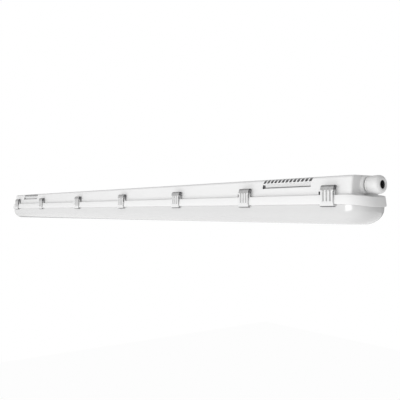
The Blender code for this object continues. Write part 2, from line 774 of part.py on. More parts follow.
def make_clips():
    for index, place in enumerate(CLIP_PLACES):
        make_clip(f"clip_front_{index + 1}", place, -1)
        make_clip(f"clip_rear_{index + 1}", place, 1)


make_gasket()
make_diffuser()
make_clips()


def make_tray():
    low = TRAY_DEPTH + TRAY_SHEET
    inner = TRAY_HALF_WIDTH - TRAY_SHEET
    top = TRAY_DEPTH - TRAY_LIP
    section = (
        (-TRAY_HALF_WIDTH, -top),
        (-TRAY_HALF_WIDTH, -low),
        (TRAY_HALF_WIDTH, -low),
        (TRAY_HALF_WIDTH, -top),
        (inner, -top),
        (inner, -TRAY_DEPTH),
        (-inner, -TRAY_DEPTH),
        (-inner, -top),
    )
    bm = bmesh.new()
    add_prism(bm, section, -TRAY_HALF_LENGTH, TRAY_HALF_LENGTH, "X")
    tray = finish("gear_tray", bm, tray_look)
    cuts = bmesh.new()
    for x, y in CATCH_PLACES:
        half_x = CATCH_WING_HALF + RUN_GAP
        half_y = CATCH_WING_WIDTH / 2 + RUN_GAP
        low_corner = (x - half_x, y - half_y, -low - PASS)
        add_box(cuts, low_corner, (x + half_x, y + half_y, PASS - TRAY_DEPTH))
    for x, y in (*SCREW_PLACES, (EARTH_X, EARTH_Y)):
        ring = circle(x, y, SCREW_RADIUS + FIT_GAP, HOLE_STEPS)
        add_prism(cuts, ring, PASS - TRAY_DEPTH, -low - PASS, "Z")
    ring = circle(BLOCK_X, 0.0, PEG_RADIUS + FIT_GAP, HOLE_STEPS)
    add_prism(cuts, ring, PASS - TRAY_DEPTH, -low - PASS, "Z")
    half_x = LEAD_SLOT_LENGTH / 2
    half_y = LEAD_SLOT_WIDTH / 2
    low_corner = (LEAD_SLOT_X - half_x, LEAD_SLOT_Y - half_y, -low - PASS)
    high_corner = (LEAD_SLOT_X + half_x, LEAD_SLOT_Y + half_y, PASS - TRAY_DEPTH)
    add_box(cuts, low_corner, high_corner)
    combine(tray, finish("cuts", cuts, None), "DIFFERENCE")


def make_catches():
    for index, (x, y) in enumerate(CATCH_PLACES):
        top = TRAY_DEPTH + TRAY_SHEET + FIT_GAP
        low = top + CATCH_WING_THICK
        straight = CATCH_WING_HALF - CATCH_WING_WIDTH / 2
        wing = []
        for end in (1, -1):
            for turn in range(0, 181, 30):
                angle = math.radians(turn if end > 0 else turn + 180)
                wing.append(
                    (
                        x + CATCH_WING_WIDTH / 2 * math.cos(angle),
                        y + end * straight + CATCH_WING_WIDTH / 2 * math.sin(angle),
                    )
                )
        bm = bmesh.new()
        add_prism(bm, wing, -top, -low, "Z")
        catch = finish(f"tray_catch_{index + 1}", bm, nylon_look, (x, y, -top))
        stem = bmesh.new()
        ring = circle(x, y, CATCH_STEM, HOLE_STEPS)
        add_prism(stem, ring, CATCH_HOLD - TRAY_DEPTH, -top - CATCH_WING_THICK / 2, "Z")
        joined = finish("stem", stem, None, (x, y, -top))
        combine(catch, joined, "UNION")
        grip = bmesh.new()
        half = CATCH_WING_THICK / 2
        add_box(
            grip,
            (x - half, y - straight, -low - CATCH_WING_THICK),
            (x + half, y + straight, -low + half),
        )
        combine(catch, finish("grip", grip, None, (x, y, -top)), "UNION")


def make_boards():
    top = TRAY_DEPTH + TRAY_SHEET + FIT_GAP
    low = top + BOARD_THICK
    for index in range(BOARD_COUNT):
        middle = (index - (BOARD_COUNT - 1) / 2) * BOARD_SPACING
        bm = bmesh.new()
        half = BOARD_LENGTH / 2
        low_corner = (middle - half, -BOARD_HALF_WIDTH, -low)
        add_box(bm, low_corner, (middle + half, BOARD_HALF_WIDTH, -top))
        board = finish(f"led_board_{index + 1}", bm, board_look)
        leds = bmesh.new()
        pitch = BOARD_LENGTH / LED_COUNT
        for number in range(LED_COUNT):
            x = middle - half + pitch / 2 + number * pitch
            side = LED_SIDE / 2
            low_corner = (x - side, -side, -low - LED_THICK)
            add_box(leds, low_corner, (x + side, side, BOARD_THICK / 2 - low))
        combine(board, finish("leds", leds, None), "UNION")
        if index == 1:
            block = bmesh.new()
            low_corner = (SOCKET_X - SOCKET_HALF, SOCKET_IN, -low - SOCKET_HIGH)
            wall = BOARD_HALF_WIDTH - EMBED
            high_corner = (SOCKET_X + SOCKET_HALF, wall, BOARD_THICK / 2 - low)
            add_box(block, low_corner, high_corner)
            combine(board, finish("block", block, None), "UNION")
            holes = bmesh.new()
            for side in (-1, 1):
                x = SOCKET_X + side * SOCKET_PITCH / 2
                ring = circle(x, -low - SOCKET_HIGH / 2, LEAD_RADIUS + FIT_GAP, BORE_STEPS)
                add_prism(holes, ring, SOCKET_IN + EMBED, BOARD_HALF_WIDTH + PASS, "Y")
            combine(board, finish("holes", holes, None), "DIFFERENCE")
    for index in range(BOARD_COUNT - 1):
        middle = (index - (BOARD_COUNT - 2) / 2) * BOARD_SPACING
        bm = bmesh.new()
        low_corner = (middle - LINK_HALF, -LINK_WIDTH / 2, -low - FIT_GAP - LINK_THICK)
        add_box(bm, low_corner, (middle + LINK_HALF, LINK_WIDTH / 2, -low - FIT_GAP))
        finish(f"board_link_{index + 1}", bm, nylon_look)


def make_driver():
    base = TRAY_DEPTH - FIT_GAP
    top = base - DRIVER_HEIGHT
    cut = DRIVER_CORNER
    section = (
        (-DRIVER_HALF_WIDTH, -base),
        (DRIVER_HALF_WIDTH, -base),
        (DRIVER_HALF_WIDTH, -top - cut),
        (DRIVER_HALF_WIDTH - cut, -top),
        (cut - DRIVER_HALF_WIDTH, -top),
        (-DRIVER_HALF_WIDTH, -top - cut),
    )
    bm = bmesh.new()
    add_prism(bm, section, DRIVER_X - DRIVER_HALF_LENGTH, DRIVER_X + DRIVER_HALF_LENGTH, "X")
    driver = finish("led_driver", bm, driver_look)
    tabs = bmesh.new()
    for end in (-1, 1):
        inner = DRIVER_X + end * (DRIVER_HALF_LENGTH - EMBED)
        outer = DRIVER_X + end * (DRIVER_HALF_LENGTH + TAB_LENGTH)
        half = DRIVER_HALF_WIDTH - EMBED
        low_corner = (min(inner, outer), -half, TAB_LIFT - base)
        add_box(tabs, low_corner, (max(inner, outer), half, TAB_THICK - base))
    combine(driver, finish("tabs", tabs, None), "UNION")
    holes = bmesh.new()
    for x, y in SCREW_PLACES:
        ring = circle(x, y, SCREW_RADIUS + FIT_GAP, HOLE_STEPS)
        add_prism(holes, ring, PASS + TAB_THICK - base, -base - PASS, "Z")
    for y in POLE_PLACES:
        ring = circle(y, -LEAD_DEPTH, LEAD_RADIUS + FIT_GAP, BORE_STEPS)
        end = DRIVER_X + DRIVER_HALF_LENGTH
        if y < POLE_PITCH / 2:
            add_prism(holes, ring, end - LEAD_HOLD, end + PASS, "X")
    for y in OUTPUT_PLACES:
        ring = circle(y, -LEAD_DEPTH, LEAD_RADIUS + FIT_GAP, BORE_STEPS)
        end = DRIVER_X - DRIVER_HALF_LENGTH
        add_prism(holes, ring, end - PASS, end + LEAD_HOLD, "X")
    combine(driver, finish("holes", holes, None), "DIFFERENCE")
    for index, (x, y) in enumerate(SCREW_PLACES):
        make_screw(f"driver_screw_{index + 1}", x, y, base - TAB_THICK - FIT_GAP)


def make_screw(name, x, y, seat):
    """Pan head screw whose head rests at a depth, with a slot across it."""
    bm = bmesh.new()
    head = circle(x, y, SCREW_HEAD_RADIUS, PEG_STEPS)
    add_prism(bm, head, SCREW_HEAD_THICK - seat, -seat, "Z")
    screw = finish(name, bm, zinc_look)
    shank = bmesh.new()
    ring = circle(x, y, SCREW_RADIUS, HOLE_STEPS)
    add_prism(shank, ring, EMBED - seat, -seat - SCREW_LENGTH, "Z")
    combine(screw, finish("shank", shank, None), "UNION")
    slot = bmesh.new()
    half = SCREW_SLOT_HALF
    long_half = SCREW_HEAD_RADIUS + PASS
    add_box(
        slot,
        (x - long_half, y - half, SCREW_HEAD_THICK / 2 - seat),
        (x + long_half, y + half, SCREW_HEAD_THICK + PASS - seat),
    )
    combine(screw, finish("slot", slot, None), "DIFFERENCE")


def make_terminal():
    base = TRAY_DEPTH - FIT_GAP
    top = base - BLOCK_HEIGHT
    bm = bmesh.new()
    low_corner = (BLOCK_X - BLOCK_HALF_LENGTH, -BLOCK_HALF_WIDTH, -base)
    add_box(bm, low_corner, (BLOCK_X + BLOCK_HALF_LENGTH, BLOCK_HALF_WIDTH, -top))
    block = finish("terminal_block", bm, block_look)
    peg = bmesh.new()
    ring = circle(BLOCK_X, 0.0, PEG_RADIUS, HOLE_STEPS)
    add_prism(peg, ring, EMBED - base, -TRAY_DEPTH - TRAY_SHEET, "Z")
    combine(block, finish("peg", peg, None), "UNION")
    pivot_x = BLOCK_X + BLOCK_HALF_LENGTH - 2 * LEVER_PIVOT - RUN_GAP
    pivot_depth = top + LEVER_PIVOT
    cuts = bmesh.new()
    for y in POLE_PLACES:
        half = LEVER_HALF_WIDTH + FIT_GAP
        floor = -pivot_depth - LEVER_PIVOT - RUN_GAP
        low_corner = (pivot_x - LEVER_LENGTH - RUN_GAP, y - half, floor)
        high_corner = (pivot_x + LEVER_PIVOT + RUN_GAP, y + half, PASS - top)
        add_box(cuts, low_corner, high_corner)
        ring = circle(y, -BLOCK_ENTRY, POLE_ENTRY_HALF, BORE_STEPS, 180.0 / BORE_STEPS)
        for end in (-1, 1):
            outer = BLOCK_X + end * (BLOCK_HALF_LENGTH + PASS)
            inner = BLOCK_X + end * (BLOCK_HALF_LENGTH - BLOCK_BORE_DEPTH)
            add_prism(cuts, ring, min(inner, outer), max(inner, outer), "X")
    combine(block, finish("cuts", cuts, None), "DIFFERENCE")
    for index, y in enumerate(POLE_PLACES):
        half = LEVER_THICK / 2
        section = []
        for turn in range(-90, 91, 30):
            angle = math.radians(turn)
            along = pivot_x + LEVER_PIVOT * math.cos(angle)
            section.append((along, -pivot_depth + LEVER_PIVOT * math.sin(angle)))
        end = pivot_x - LEVER_LENGTH
        section.append((pivot_x - LEVER_PIVOT, half - pivot_depth))
        section.append((end, half - pivot_depth))
        section.append((end, -half - pivot_depth))
        section.append((pivot_x - LEVER_PIVOT, -half - pivot_depth))
        bm = bmesh.new()
        add_prism(bm, section, y - LEVER_HALF_WIDTH, y + LEVER_HALF_WIDTH, "Y")
        finish(f"terminal_lever_{index + 1}", bm, lever_look, (pivot_x, y, -pivot_depth))


def make_leads():
    block_end = BLOCK_X - BLOCK_HALF_LENGTH
    driver_end = DRIVER_X + DRIVER_HALF_LENGTH
    rise = (BLOCK_ENTRY + LEAD_DEPTH) / 2
    gap = POLE_PITCH
    looks = (("lead_live", live_look, -gap), ("lead_neutral", neutral_look, 0.0))
    for name, look, y in looks:
        sway = y - gap / 2
        points = (
            (block_end + LEAD_HOLD, y, -BLOCK_ENTRY),
            (block_end - LEAD_HOLD, y, -BLOCK_ENTRY),
            (block_end - LEAD_FAN, (y + sway) / 2, -BLOCK_ENTRY),
            (block_end - LEAD_FALL, sway, -rise),
            ((block_end + driver_end) / 2, sway, -LEAD_DEPTH),
            (driver_end + LEAD_FALL, sway, -LEAD_DEPTH),
            (driver_end + LEAD_GATHER, (y + sway) / 2, -LEAD_DEPTH),
            (driver_end + LEAD_HOLD, y, -LEAD_DEPTH),
            (driver_end - LEAD_HOLD / 2, y, -LEAD_DEPTH),
        )
        finish(name, tube(points, LEAD_RADIUS), look)
    lug_top = TRAY_DEPTH - FIT_GAP - EARTH_LUG_THICK
    lug_middle = lug_top + EARTH_LUG_THICK / 2
    crimp = lug_top - LEAD_RADIUS + EARTH_LUG_THICK / 2
    points = (
        (block_end + LEAD_HOLD, gap, -BLOCK_ENTRY),
        (block_end - LEAD_HOLD, gap, -BLOCK_ENTRY),
        (block_end - LEAD_FAN, gap + EARTH_LUG_RADIUS, -BLOCK_ENTRY - LEAD_RADIUS),
        (block_end - EARTH_FALL, EARTH_Y - EARTH_LUG_RADIUS, -crimp + LEAD_RADIUS),
        (EARTH_X + LEAD_GATHER, EARTH_Y, -crimp),
        (EARTH_X + EARTH_LUG_RADIUS + SCREW_RADIUS, EARTH_Y, -crimp),
        (EARTH_X + EARTH_LUG_RADIUS, EARTH_Y, -crimp),
    )
    earth = finish("lead_earth", tube(points, LEAD_RADIUS), earth_look)
    lug = bmesh.new()
    ring = circle(EARTH_X, EARTH_Y, EARTH_LUG_RADIUS, PEG_STEPS)
    add_prism(lug, ring, -lug_top, FIT_GAP - TRAY_DEPTH, "Z")
    plate = finish("lug", lug, None)
    tongue = bmesh.new()
    tongue_low = FIT_GAP + EARTH_TONGUE_LIFT - TRAY_DEPTH
    low_corner = (EARTH_X + EARTH_LUG_RADIUS / 2, EARTH_Y - LEAD_RADIUS, tongue_low)
    tongue_high = EARTH_TONGUE_LIFT - lug_top
    high_corner = (EARTH_X + 2 * EARTH_LUG_RADIUS, EARTH_Y + LEAD_RADIUS, tongue_high)
    add_box(tongue, low_corner, high_corner)
    combine(plate, finish("tongue", tongue, None), "UNION")
    combine(earth, plate, "UNION")
    hole = bmesh.new()
    ring = circle(EARTH_X, EARTH_Y, SCREW_RADIUS + FIT_GAP, HOLE_STEPS)
    add_prism(hole, ring, PASS - lug_middle, -lug_middle - PASS, "Z")
    combine(earth, finish("hole", hole, None), "DIFFERENCE")
    make_screw("earth_screw", EARTH_X, EARTH_Y, lug_top - FIT_GAP)

    board_low = TRAY_DEPTH + TRAY_SHEET + FIT_GAP + BOARD_THICK
    socket = board_low + SOCKET_HIGH / 2
    driver_low = DRIVER_X - DRIVER_HALF_LENGTH
    pairs = (("lead_plus", red_look, 1), ("lead_minus", black_look, -1))
    for name, look, side in pairs:
        out = SOCKET_X - side * SOCKET_PITCH / 2
        y = side * OUTPUT_PITCH / 2
        lane = LEAD_SLOT_Y + side * LEAD_LANE
        drop_x = LEAD_SLOT_X + LEAD_HOLD / 2
        points = (
            (driver_low + LEAD_HOLD / 2, y, -LEAD_DEPTH),
            (driver_low - LEAD_HOLD / 2, y, -LEAD_DEPTH),
            (driver_low - OUTPUT_FAN, y + OUTPUT_SWAY, -LEAD_DEPTH - LEAD_RADIUS),
            (drop_x + LEAD_HOLD, lane - LEAD_RADIUS, -LEAD_DEPTH - LEAD_HOLD),
            (drop_x, lane, -TRAY_DEPTH),
            (drop_x - LEAD_HOLD, lane, -socket + LEAD_RADIUS / 2),
            (out + SOCKET_TURN, lane, -socket),
            (out, lane - SOCKET_TURN, -socket),
            (out, SOCKET_IN + EMBED + SOCKET_GRIP, -socket),
        )
        finish(name, tube(points, LEAD_RADIUS), look)


def make_gland():
    tip = END_WALL + BOSS_LENGTH
    ring_start = tip + FIT_GAP
    ring_end = ring_start + SEAL_RING_THICK
    profile = (
        (ring_start, THREAD_RADIUS + FIT_GAP),
        (ring_start, SEAL_RING_RADIUS - SEAL_RING_EDGE),
        ((ring_start + ring_end) / 2, SEAL_RING_RADIUS),
        (ring_end, SEAL_RING_RADIUS - SEAL_RING_EDGE),
        (ring_end, THREAD_RADIUS + FIT_GAP),
    )
    finish("gland_ring", turned(profile, ENTRY_DEPTH), rubber_look)

    collar = ring_end + FIT_GAP
    neck = collar + GLAND_COLLAR_LENGTH
    mouth = neck + GLAND_NECK_LENGTH
    inner_wall = END_WALL - WALL - END_TAPER_SHARE * TOP_INSET
    nut_start = inner_wall - FIT_GAP - LOCKNUT_THICK
    spigot_end = nut_start - RUN_GAP - THREAD_PROUD
    seal_start = mouth - SEAL_LENGTH
    edge = EMBED
    profile = (
        (spigot_end, GLAND_BORE),
        (spigot_end, THREAD_RADIUS - edge),
        (spigot_end + edge, THREAD_RADIUS),
        (collar, THREAD_RADIUS),
        (collar, GLAND_COLLAR_RADIUS - edge),
        (collar + edge, GLAND_COLLAR_RADIUS),
        (neck - edge, GLAND_COLLAR_RADIUS),
        (neck, GLAND_COLLAR_RADIUS - edge),
        (neck, GLAND_NECK_RADIUS),
        (mouth, GLAND_NECK_RADIUS),
        (mouth, SEAL_RADIUS + FIT_GAP),
        (seal_start, SEAL_RADIUS + FIT_GAP),
        (seal_start, GLAND_BORE),
    )
    finish("gland_body", turned(profile, ENTRY_DEPTH), nylon_look)

    profile = (
        (seal_start + FIT_GAP, SEAL_BORE),
        (seal_start + FIT_GAP, SEAL_RADIUS),
        (mouth, SEAL_RADIUS),
        (mouth, SEAL_BORE + edge),
        (mouth - edge, SEAL_BORE),
    )
    finish("gland_seal", turned(profile, ENTRY_DEPTH, SEAL_STEPS), rubber_look)

    claw_start = mouth + FIT_GAP
    claw_end = claw_start + CLAW_LENGTH
    nut_back = neck + FIT_GAP
    nut_front = nut_back + NUT_LENGTH
    nut_inner = GLAND_NECK_RADIUS + RUN_GAP
    nut_floor = claw_end + FIT_GAP

    def finger(x, radius, step):
        if step % CLAW_SLIT_EVERY == 0 and radius < CLAW_RADIUS:
            return radius + (CLAW_RADIUS - NUT_HOLE) * CLAW_SLIT_SHARE
        return radius

    profile = (
        (claw_start, NUT_HOLE - edge),
        (claw_start, CLAW_RADIUS),
        (claw_end, CLAW_RADIUS - edge),
        (claw_end, NUT_HOLE - edge),
    )
    finish("gland_claws", turned(profile, ENTRY_DEPTH, CLAW_STEPS, finger), nylon_look)

    def grip(x, radius, step):
        if step % (TURN_STEPS // NUT_GRIPS) == 0 and radius > NUT_BACK_RADIUS - edge / 2:
            return radius - NUT_GRIP_DEPTH
        return radius

    shoulder = nut_front - NUT_FRONT_LENGTH
    profile = (
        (nut_back, nut_inner),
        (nut_back, NUT_BACK_RADIUS - edge),
        (nut_back + edge, NUT_BACK_RADIUS),
        (nut_back + NUT_SWELL_SHARE * (shoulder - nut_back), NUT_RADIUS),
        (shoulder, NUT_RADIUS),
        (nut_front - NUT_FRONT_LENGTH * NUT_DOME_SHARE, (NUT_RADIUS + NUT_FRONT_RADIUS) / 2 + edge),
        (nut_front, NUT_FRONT_RADIUS),
        (nut_front, NUT_HOLE),
        (nut_floor, NUT_HOLE),
        (nut_floor, nut_inner),
    )
    bm = turned(profile, ENTRY_DEPTH, TURN_STEPS, grip)
    finish("gland_nut", bm, nylon_look, (nut_back, 0.0, -ENTRY_DEPTH))
    make_locknut("gland_locknut", nut_start, nut_start + LOCKNUT_THICK)


def make_locknut(name, start, end):
    bm = bmesh.new()
    corner = LOCKNUT_FLATS_HALF / math.cos(math.radians(30.0))
    add_prism(bm, circle(0.0, -ENTRY_DEPTH, corner, 6), start, end, "X")
    nut = finish(name, bm, nylon_look)
    hole = bmesh.new()
    ring = circle(0.0, -ENTRY_DEPTH, THREAD_RADIUS + FIT_GAP, TURN_STEPS)
    add_prism(hole, ring, min(start, end) - PASS, max(start, end) + PASS, "X")
    combine(nut, finish("hole", hole, None), "DIFFERENCE")


def make_plug():
    seat = -END_WALL - EMBED
    ring_start = seat - FIT_GAP
    ring_end = ring_start - SEAL_RING_THICK
    inner = THREAD_RADIUS + FIT_GAP
    profile = (
        (ring_end, inner),
        (ring_end, SEAL_RING_RADIUS - SEAL_RING_EDGE),
        ((ring_start + ring_end) / 2, SEAL_RING_RADIUS),
        (ring_start, SEAL_RING_RADIUS - SEAL_RING_EDGE),
        (ring_start, inner),
    )
    finish("plug_ring", turned(profile, ENTRY_DEPTH), rubber_look)

    head = ring_end - FIT_GAP
    front = head - PLUG_HEAD_THICK
    inner_wall = -END_WALL + WALL + END_TAPER_SHARE * TOP_INSET
    nut_start = inner_wall + FIT_GAP
    nut_end = nut_start + LOCKNUT_THICK
    shank_end = nut_end + RUN_GAP + THREAD_PROUD
    bm = bmesh.new()
    ring = circle(0.0, -ENTRY_DEPTH, THREAD_RADIUS, TURN_STEPS)
    add_prism(bm, ring, head - EMBED, shank_end, "X")
    plug = finish("entry_plug", bm, nylon_look)
    disc = bmesh.new()
    ring = circle(0.0, -ENTRY_DEPTH, PLUG_HEAD_RADIUS, TURN_STEPS)
    add_prism(disc, ring, front, head, "X")
    combine(plug, finish("disc", disc, None), "UNION")
    hollow = bmesh.new()
    ring = circle(0.0, -ENTRY_DEPTH, GLAND_BORE, SEAL_STEPS)
    add_prism(hollow, ring, head, shank_end + PASS, "X")
    combine(plug, finish("hollow", hollow, None), "DIFFERENCE")
    slot = bmesh.new()
    half = PLUG_SLOT / 2
    low_corner = (front - PASS, -PLUG_HEAD_RADIUS - PASS, -ENTRY_DEPTH - half)
    high_corner = (front + PLUG_HEAD_THICK / 2, PLUG_HEAD_RADIUS + PASS, half - ENTRY_DEPTH)
    add_box(slot, low_corner, high_corner)
    combine(plug, finish("slot", slot, None), "DIFFERENCE")
    make_locknut("plug_locknut", nut_start, nut_end)


make_tray()
make_catches()
make_boards()
make_driver()
make_terminal()
make_leads()
make_gland()
make_plug()

# Curved faces are shaded smooth, and edges sharper than this stay crisp
SMOOTH_ANGLE = 32.0
for piece in bpy.context.scene.objects:
    piece.data.shade_smooth()
    piece.data.set_sharp_from_angle(angle=math.radians(SMOOTH_ANGLE))
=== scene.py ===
# %% [markdown]
# A vapor tight light fixture, 1.5 m long. A light grey moulded body hangs under the ceiling, an opal cover
# closes it from below, and steel clips along both rims press the cover on its gasket. The supply cable
# enters through a gland at one end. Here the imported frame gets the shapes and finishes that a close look
# shows. Lengths are in metres: X runs towards the gland, Z goes up to the ceiling, and depths are measured
# down from the ceiling face, so a depth of 0.03 lies at z = -0.03.

# %% Load the frame
import json
import math

import bmesh
import bpy
from mathutils import Matrix, Vector

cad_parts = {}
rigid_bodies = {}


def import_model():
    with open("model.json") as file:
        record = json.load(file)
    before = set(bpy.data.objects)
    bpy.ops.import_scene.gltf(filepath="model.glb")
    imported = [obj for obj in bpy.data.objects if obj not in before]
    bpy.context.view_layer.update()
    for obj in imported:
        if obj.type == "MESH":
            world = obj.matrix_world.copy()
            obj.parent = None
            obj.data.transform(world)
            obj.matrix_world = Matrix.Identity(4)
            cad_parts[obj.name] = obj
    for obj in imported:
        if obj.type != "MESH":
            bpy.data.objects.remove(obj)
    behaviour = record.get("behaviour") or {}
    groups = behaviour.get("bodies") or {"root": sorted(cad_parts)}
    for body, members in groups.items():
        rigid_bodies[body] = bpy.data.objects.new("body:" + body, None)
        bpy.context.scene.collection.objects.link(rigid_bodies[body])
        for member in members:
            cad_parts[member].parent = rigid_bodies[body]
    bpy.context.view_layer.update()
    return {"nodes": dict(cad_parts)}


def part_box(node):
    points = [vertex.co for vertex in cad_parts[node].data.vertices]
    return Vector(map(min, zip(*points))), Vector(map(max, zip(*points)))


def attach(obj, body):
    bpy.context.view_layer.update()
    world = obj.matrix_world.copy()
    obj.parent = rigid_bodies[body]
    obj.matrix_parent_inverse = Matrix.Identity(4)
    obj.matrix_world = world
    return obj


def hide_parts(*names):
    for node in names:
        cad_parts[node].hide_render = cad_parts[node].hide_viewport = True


for startup in list(bpy.data.objects):
    bpy.data.objects.remove(startup)
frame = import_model()

# %% [markdown]
# The camera stands off the gland end and looks back along the fixture, a touch upwards. Its place was found
# by matching the straight edges of the body in the picture: the near end looks two and a half times as high
# as the far one, so the camera is close, about 0.9 m from the gland. A lens is given in millimetres for a
# 36 mm sensor.

# %% Camera
HALF_LENGTH = 0.75
LENS_MM = 52.6
SENSOR_MM = 36.0
camera_place = Vector((1.2904, -0.7484, -0.0557))
look_turn = math.radians(37.05)
look_tilt = math.radians(1.104)
level = Vector((-math.cos(look_turn), math.sin(look_turn), 0.0))
forward = level * math.cos(look_tilt) + Vector((0.0, 0.0, math.sin(look_tilt)))
lens = bpy.data.cameras.new("camera")
lens.lens = LENS_MM
lens.sensor_width = SENSOR_MM
lens.clip_start = 0.01
lens.clip_end = 50.0
camera = bpy.data.objects.new("camera", lens)
camera.location = camera_place
camera.rotation_mode = "QUATERNION"
camera.rotation_quaternion = forward.to_track_quat("-Z", "Y")
bpy.context.scene.collection.objects.link(camera)
bpy.context.scene.camera = camera
print("camera", round((camera_place - Vector((HALF_LENGTH, 0.0, 0.0))).length, 3), "m from the near end")

# %% [markdown]
# Finishes come next, because every piece needs one. Moulded plastic isn't one flat colour: the tool leaves
# a fine spark texture, thick places cool a little duller, and handling leaves the gloss uneven. Three noise
# patterns on Object coordinates give these: a fine one drives a bump, a broad one (cloud) shifts the colour,
# and a middle one moves the roughness. Everything else is a number on the shader's socket.

# %% A finish with texture, colour drift and uneven gloss
GLOSS_SCALE = 6.0
RELIEF_HEIGHT = 0.0002


def link(tree, source, target):
    tree.links.new(source, target)


def noise(tree, scale, size, detail):
    """A noise pattern on the coordinates that the mapping node gives."""
    made = tree.nodes.new("ShaderNodeTexNoise")
    made.inputs["Scale"].default_value = size
    made.inputs["Detail"].default_value = detail
    link(tree, scale.outputs["Vector"], made.inputs["Vector"])
    return made


def finish(name, colour, rough, drift=0.03, rough_drift=0.08, grain=900.0, bump=0.04, metal=0.0,
           coat=0.0, coat_rough=0.1, cloud=9.0, stretch=(1.0, 1.0, 1.0)):
    """A Principled material whose colour, gloss and surface wander as those of a real moulding do."""
    look = bpy.data.materials.new(name)
    look.use_nodes = True
    tree = look.node_tree
    shader = tree.nodes["Principled BSDF"]
    shader.inputs["Metallic"].default_value = metal
    shader.inputs["Coat Weight"].default_value = coat
    shader.inputs["Coat Roughness"].default_value = coat_rough
    place = tree.nodes.new("ShaderNodeTexCoord")
    scale = tree.nodes.new("ShaderNodeMapping")
    scale.inputs["Scale"].default_value = stretch
    link(tree, place.outputs["Object"], scale.inputs["Vector"])
    broad, middle, fine = (noise(tree, scale, size, detail) for size, detail in
                           ((cloud, 4.0), (cloud * GLOSS_SCALE, 3.0), (grain, 2.0)))
    tint = tree.nodes.new("ShaderNodeValToRGB")
    tint.color_ramp.elements[0].position = 0.3
    tint.color_ramp.elements[1].position = 0.7
    tint.color_ramp.elements[0].color = [c * (1.0 - drift) for c in colour] + [1.0]
    tint.color_ramp.elements[1].color = [min(1.0, c * (1.0 + drift)) for c in colour] + [1.0]
    link(tree, broad.outputs["Fac"], tint.inputs["Fac"])
    link(tree, tint.outputs["Color"], shader.inputs["Base Color"])
    gloss = tree.nodes.new("ShaderNodeMapRange")
    gloss.inputs["To Min"].default_value = max(0.02, rough - rough_drift)
    gloss.inputs["To Max"].default_value = min(1.0, rough + rough_drift)
    link(tree, middle.outputs["Fac"], gloss.inputs["Value"])
    link(tree, gloss.outputs["Result"], shader.inputs["Roughness"])
    relief = tree.nodes.new("ShaderNodeBump")
    relief.inputs["Strength"].default_value = bump
    relief.inputs["Distance"].default_value = RELIEF_HEIGHT
    link(tree, fine.outputs["Fac"], relief.inputs["Height"])
    link(tree, relief.outputs["Normal"], shader.inputs["Normal"])
    look.diffuse_color = (*colour, 1.0)
    return look


# %% [markdown]
# The colours follow the picture. The body and the gland are two light greys, one satin and one with a fine
# moulded grain. The cover is a shade darker and smooth, with a clear coat that catches a small bright window.
# The clips are satin stainless sheet, whose rolling lines run along X; where it was bent or pressed the steel
# is duller, and there it is also painted darker, a painted shade that makes the rolled head and the flutes
# read grey. A near black steel is painted shade on the bottom of the hook and on the ends of the rolled head.
# The rest is for what lies inside the body.

# %% The finishes of this fixture
body_grey = finish("body_grey", (0.78, 0.78, 0.78), 0.46, drift=0.012, grain=1400.0, bump=0.05)
opal_white = finish("opal_white", (0.61, 0.61, 0.61), 0.24, drift=0.010, rough_drift=0.03, grain=120.0,
                    bump=0.015, coat=1.0, coat_rough=0.04)
gland_grey = finish("gland_grey", (0.74, 0.74, 0.74), 0.42, drift=0.02, grain=2200.0, bump=0.10)
sheet_steel = finish("sheet_steel", (0.86, 0.86, 0.86), 0.28, drift=0.03, rough_drift=0.05, grain=1500.0,
                     bump=0.03, metal=1.0, cloud=30.0, stretch=(0.05, 1.0, 1.0))
# Duller steel for the rolled head and the flutes, its colour painted darker as shade.
dull_steel_and_painted_shade = finish("dull_steel_and_painted_shade", (0.54, 0.54, 0.54), 0.50, drift=0.10, grain=1500.0, bump=0.12,
                      metal=1.0, cloud=200.0)
# Near black steel, painted shade for the bottom of the hook and the ends of the rolled head.
painted_shade_steel = finish("painted_shade_steel", (0.16, 0.16, 0.165), 0.5, drift=0.15, grain=2500.0, bump=0.2, metal=1.0)
foam_grey = finish("foam_grey", (0.10, 0.10, 0.105), 0.85, drift=0.15, grain=2500.0, bump=0.5, cloud=60.0)
tray_white = finish("tray_white", (0.80, 0.80, 0.79), 0.38, drift=0.01, grain=500.0, bump=0.12)
board_white = finish("board_white", (0.78, 0.79, 0.76), 0.5, drift=0.02, grain=900.0, bump=0.05)
case_white = finish("case_white", (0.74, 0.74, 0.71), 0.5, drift=0.02, grain=1800.0, bump=0.25)
block_grey = finish("block_grey", (0.58, 0.60, 0.61), 0.42, drift=0.03, grain=1500.0, bump=0.08, cloud=90.0)
lever_orange = finish("lever_orange", (0.62, 0.16, 0.02), 0.34, drift=0.05, grain=1500.0, bump=0.05,
                      cloud=90.0)
zinc = finish("zinc", (0.62, 0.62, 0.60), 0.36, drift=0.12, grain=2500.0, bump=0.08, metal=1.0, cloud=400.0)
# Black rubber for the gland's rings and seal; the lugs' slits use it too, as painted shade.
black_rubber_and_painted_shade = finish("black_rubber_and_painted_shade", (0.022, 0.022, 0.023), 0.62, drift=0.2, grain=2500.0, bump=0.15)
wire_brown = finish("wire_brown", (0.11, 0.035, 0.012), 0.4, drift=0.08, cloud=60.0)
wire_blue = finish("wire_blue", (0.01, 0.06, 0.27), 0.4, drift=0.08, cloud=60.0)
wire_red = finish("wire_red", (0.38, 0.012, 0.01), 0.4, drift=0.08, cloud=60.0)
wire_black = finish("wire_black", (0.018, 0.018, 0.02), 0.4, drift=0.12, cloud=60.0)
wire_green = finish("wire_green", (0.05, 0.24, 0.02), 0.4, drift=0.08, cloud=60.0)
print(len(bpy.data.materials), "finishes")

# %% [markdown]
# Long mouldings like this body and its cover are lofts: a rounded rectangle that changes its size on the way
# down. One such loop starts as a single square, stretched to the plan size, whose corners a vertex bevel
# rounds. Bridging each loop to the next skins them, so every corner has the same number of points and the
# faces run clean. A share above zero lets a loop dip at the ends, where the rim of the real body droops.

# %% Loops and lofts
CORNER_STEPS = 12
HALF_WIDTH = 0.043
RIM_RADIUS = 0.038
END_DROOP = 0.0046


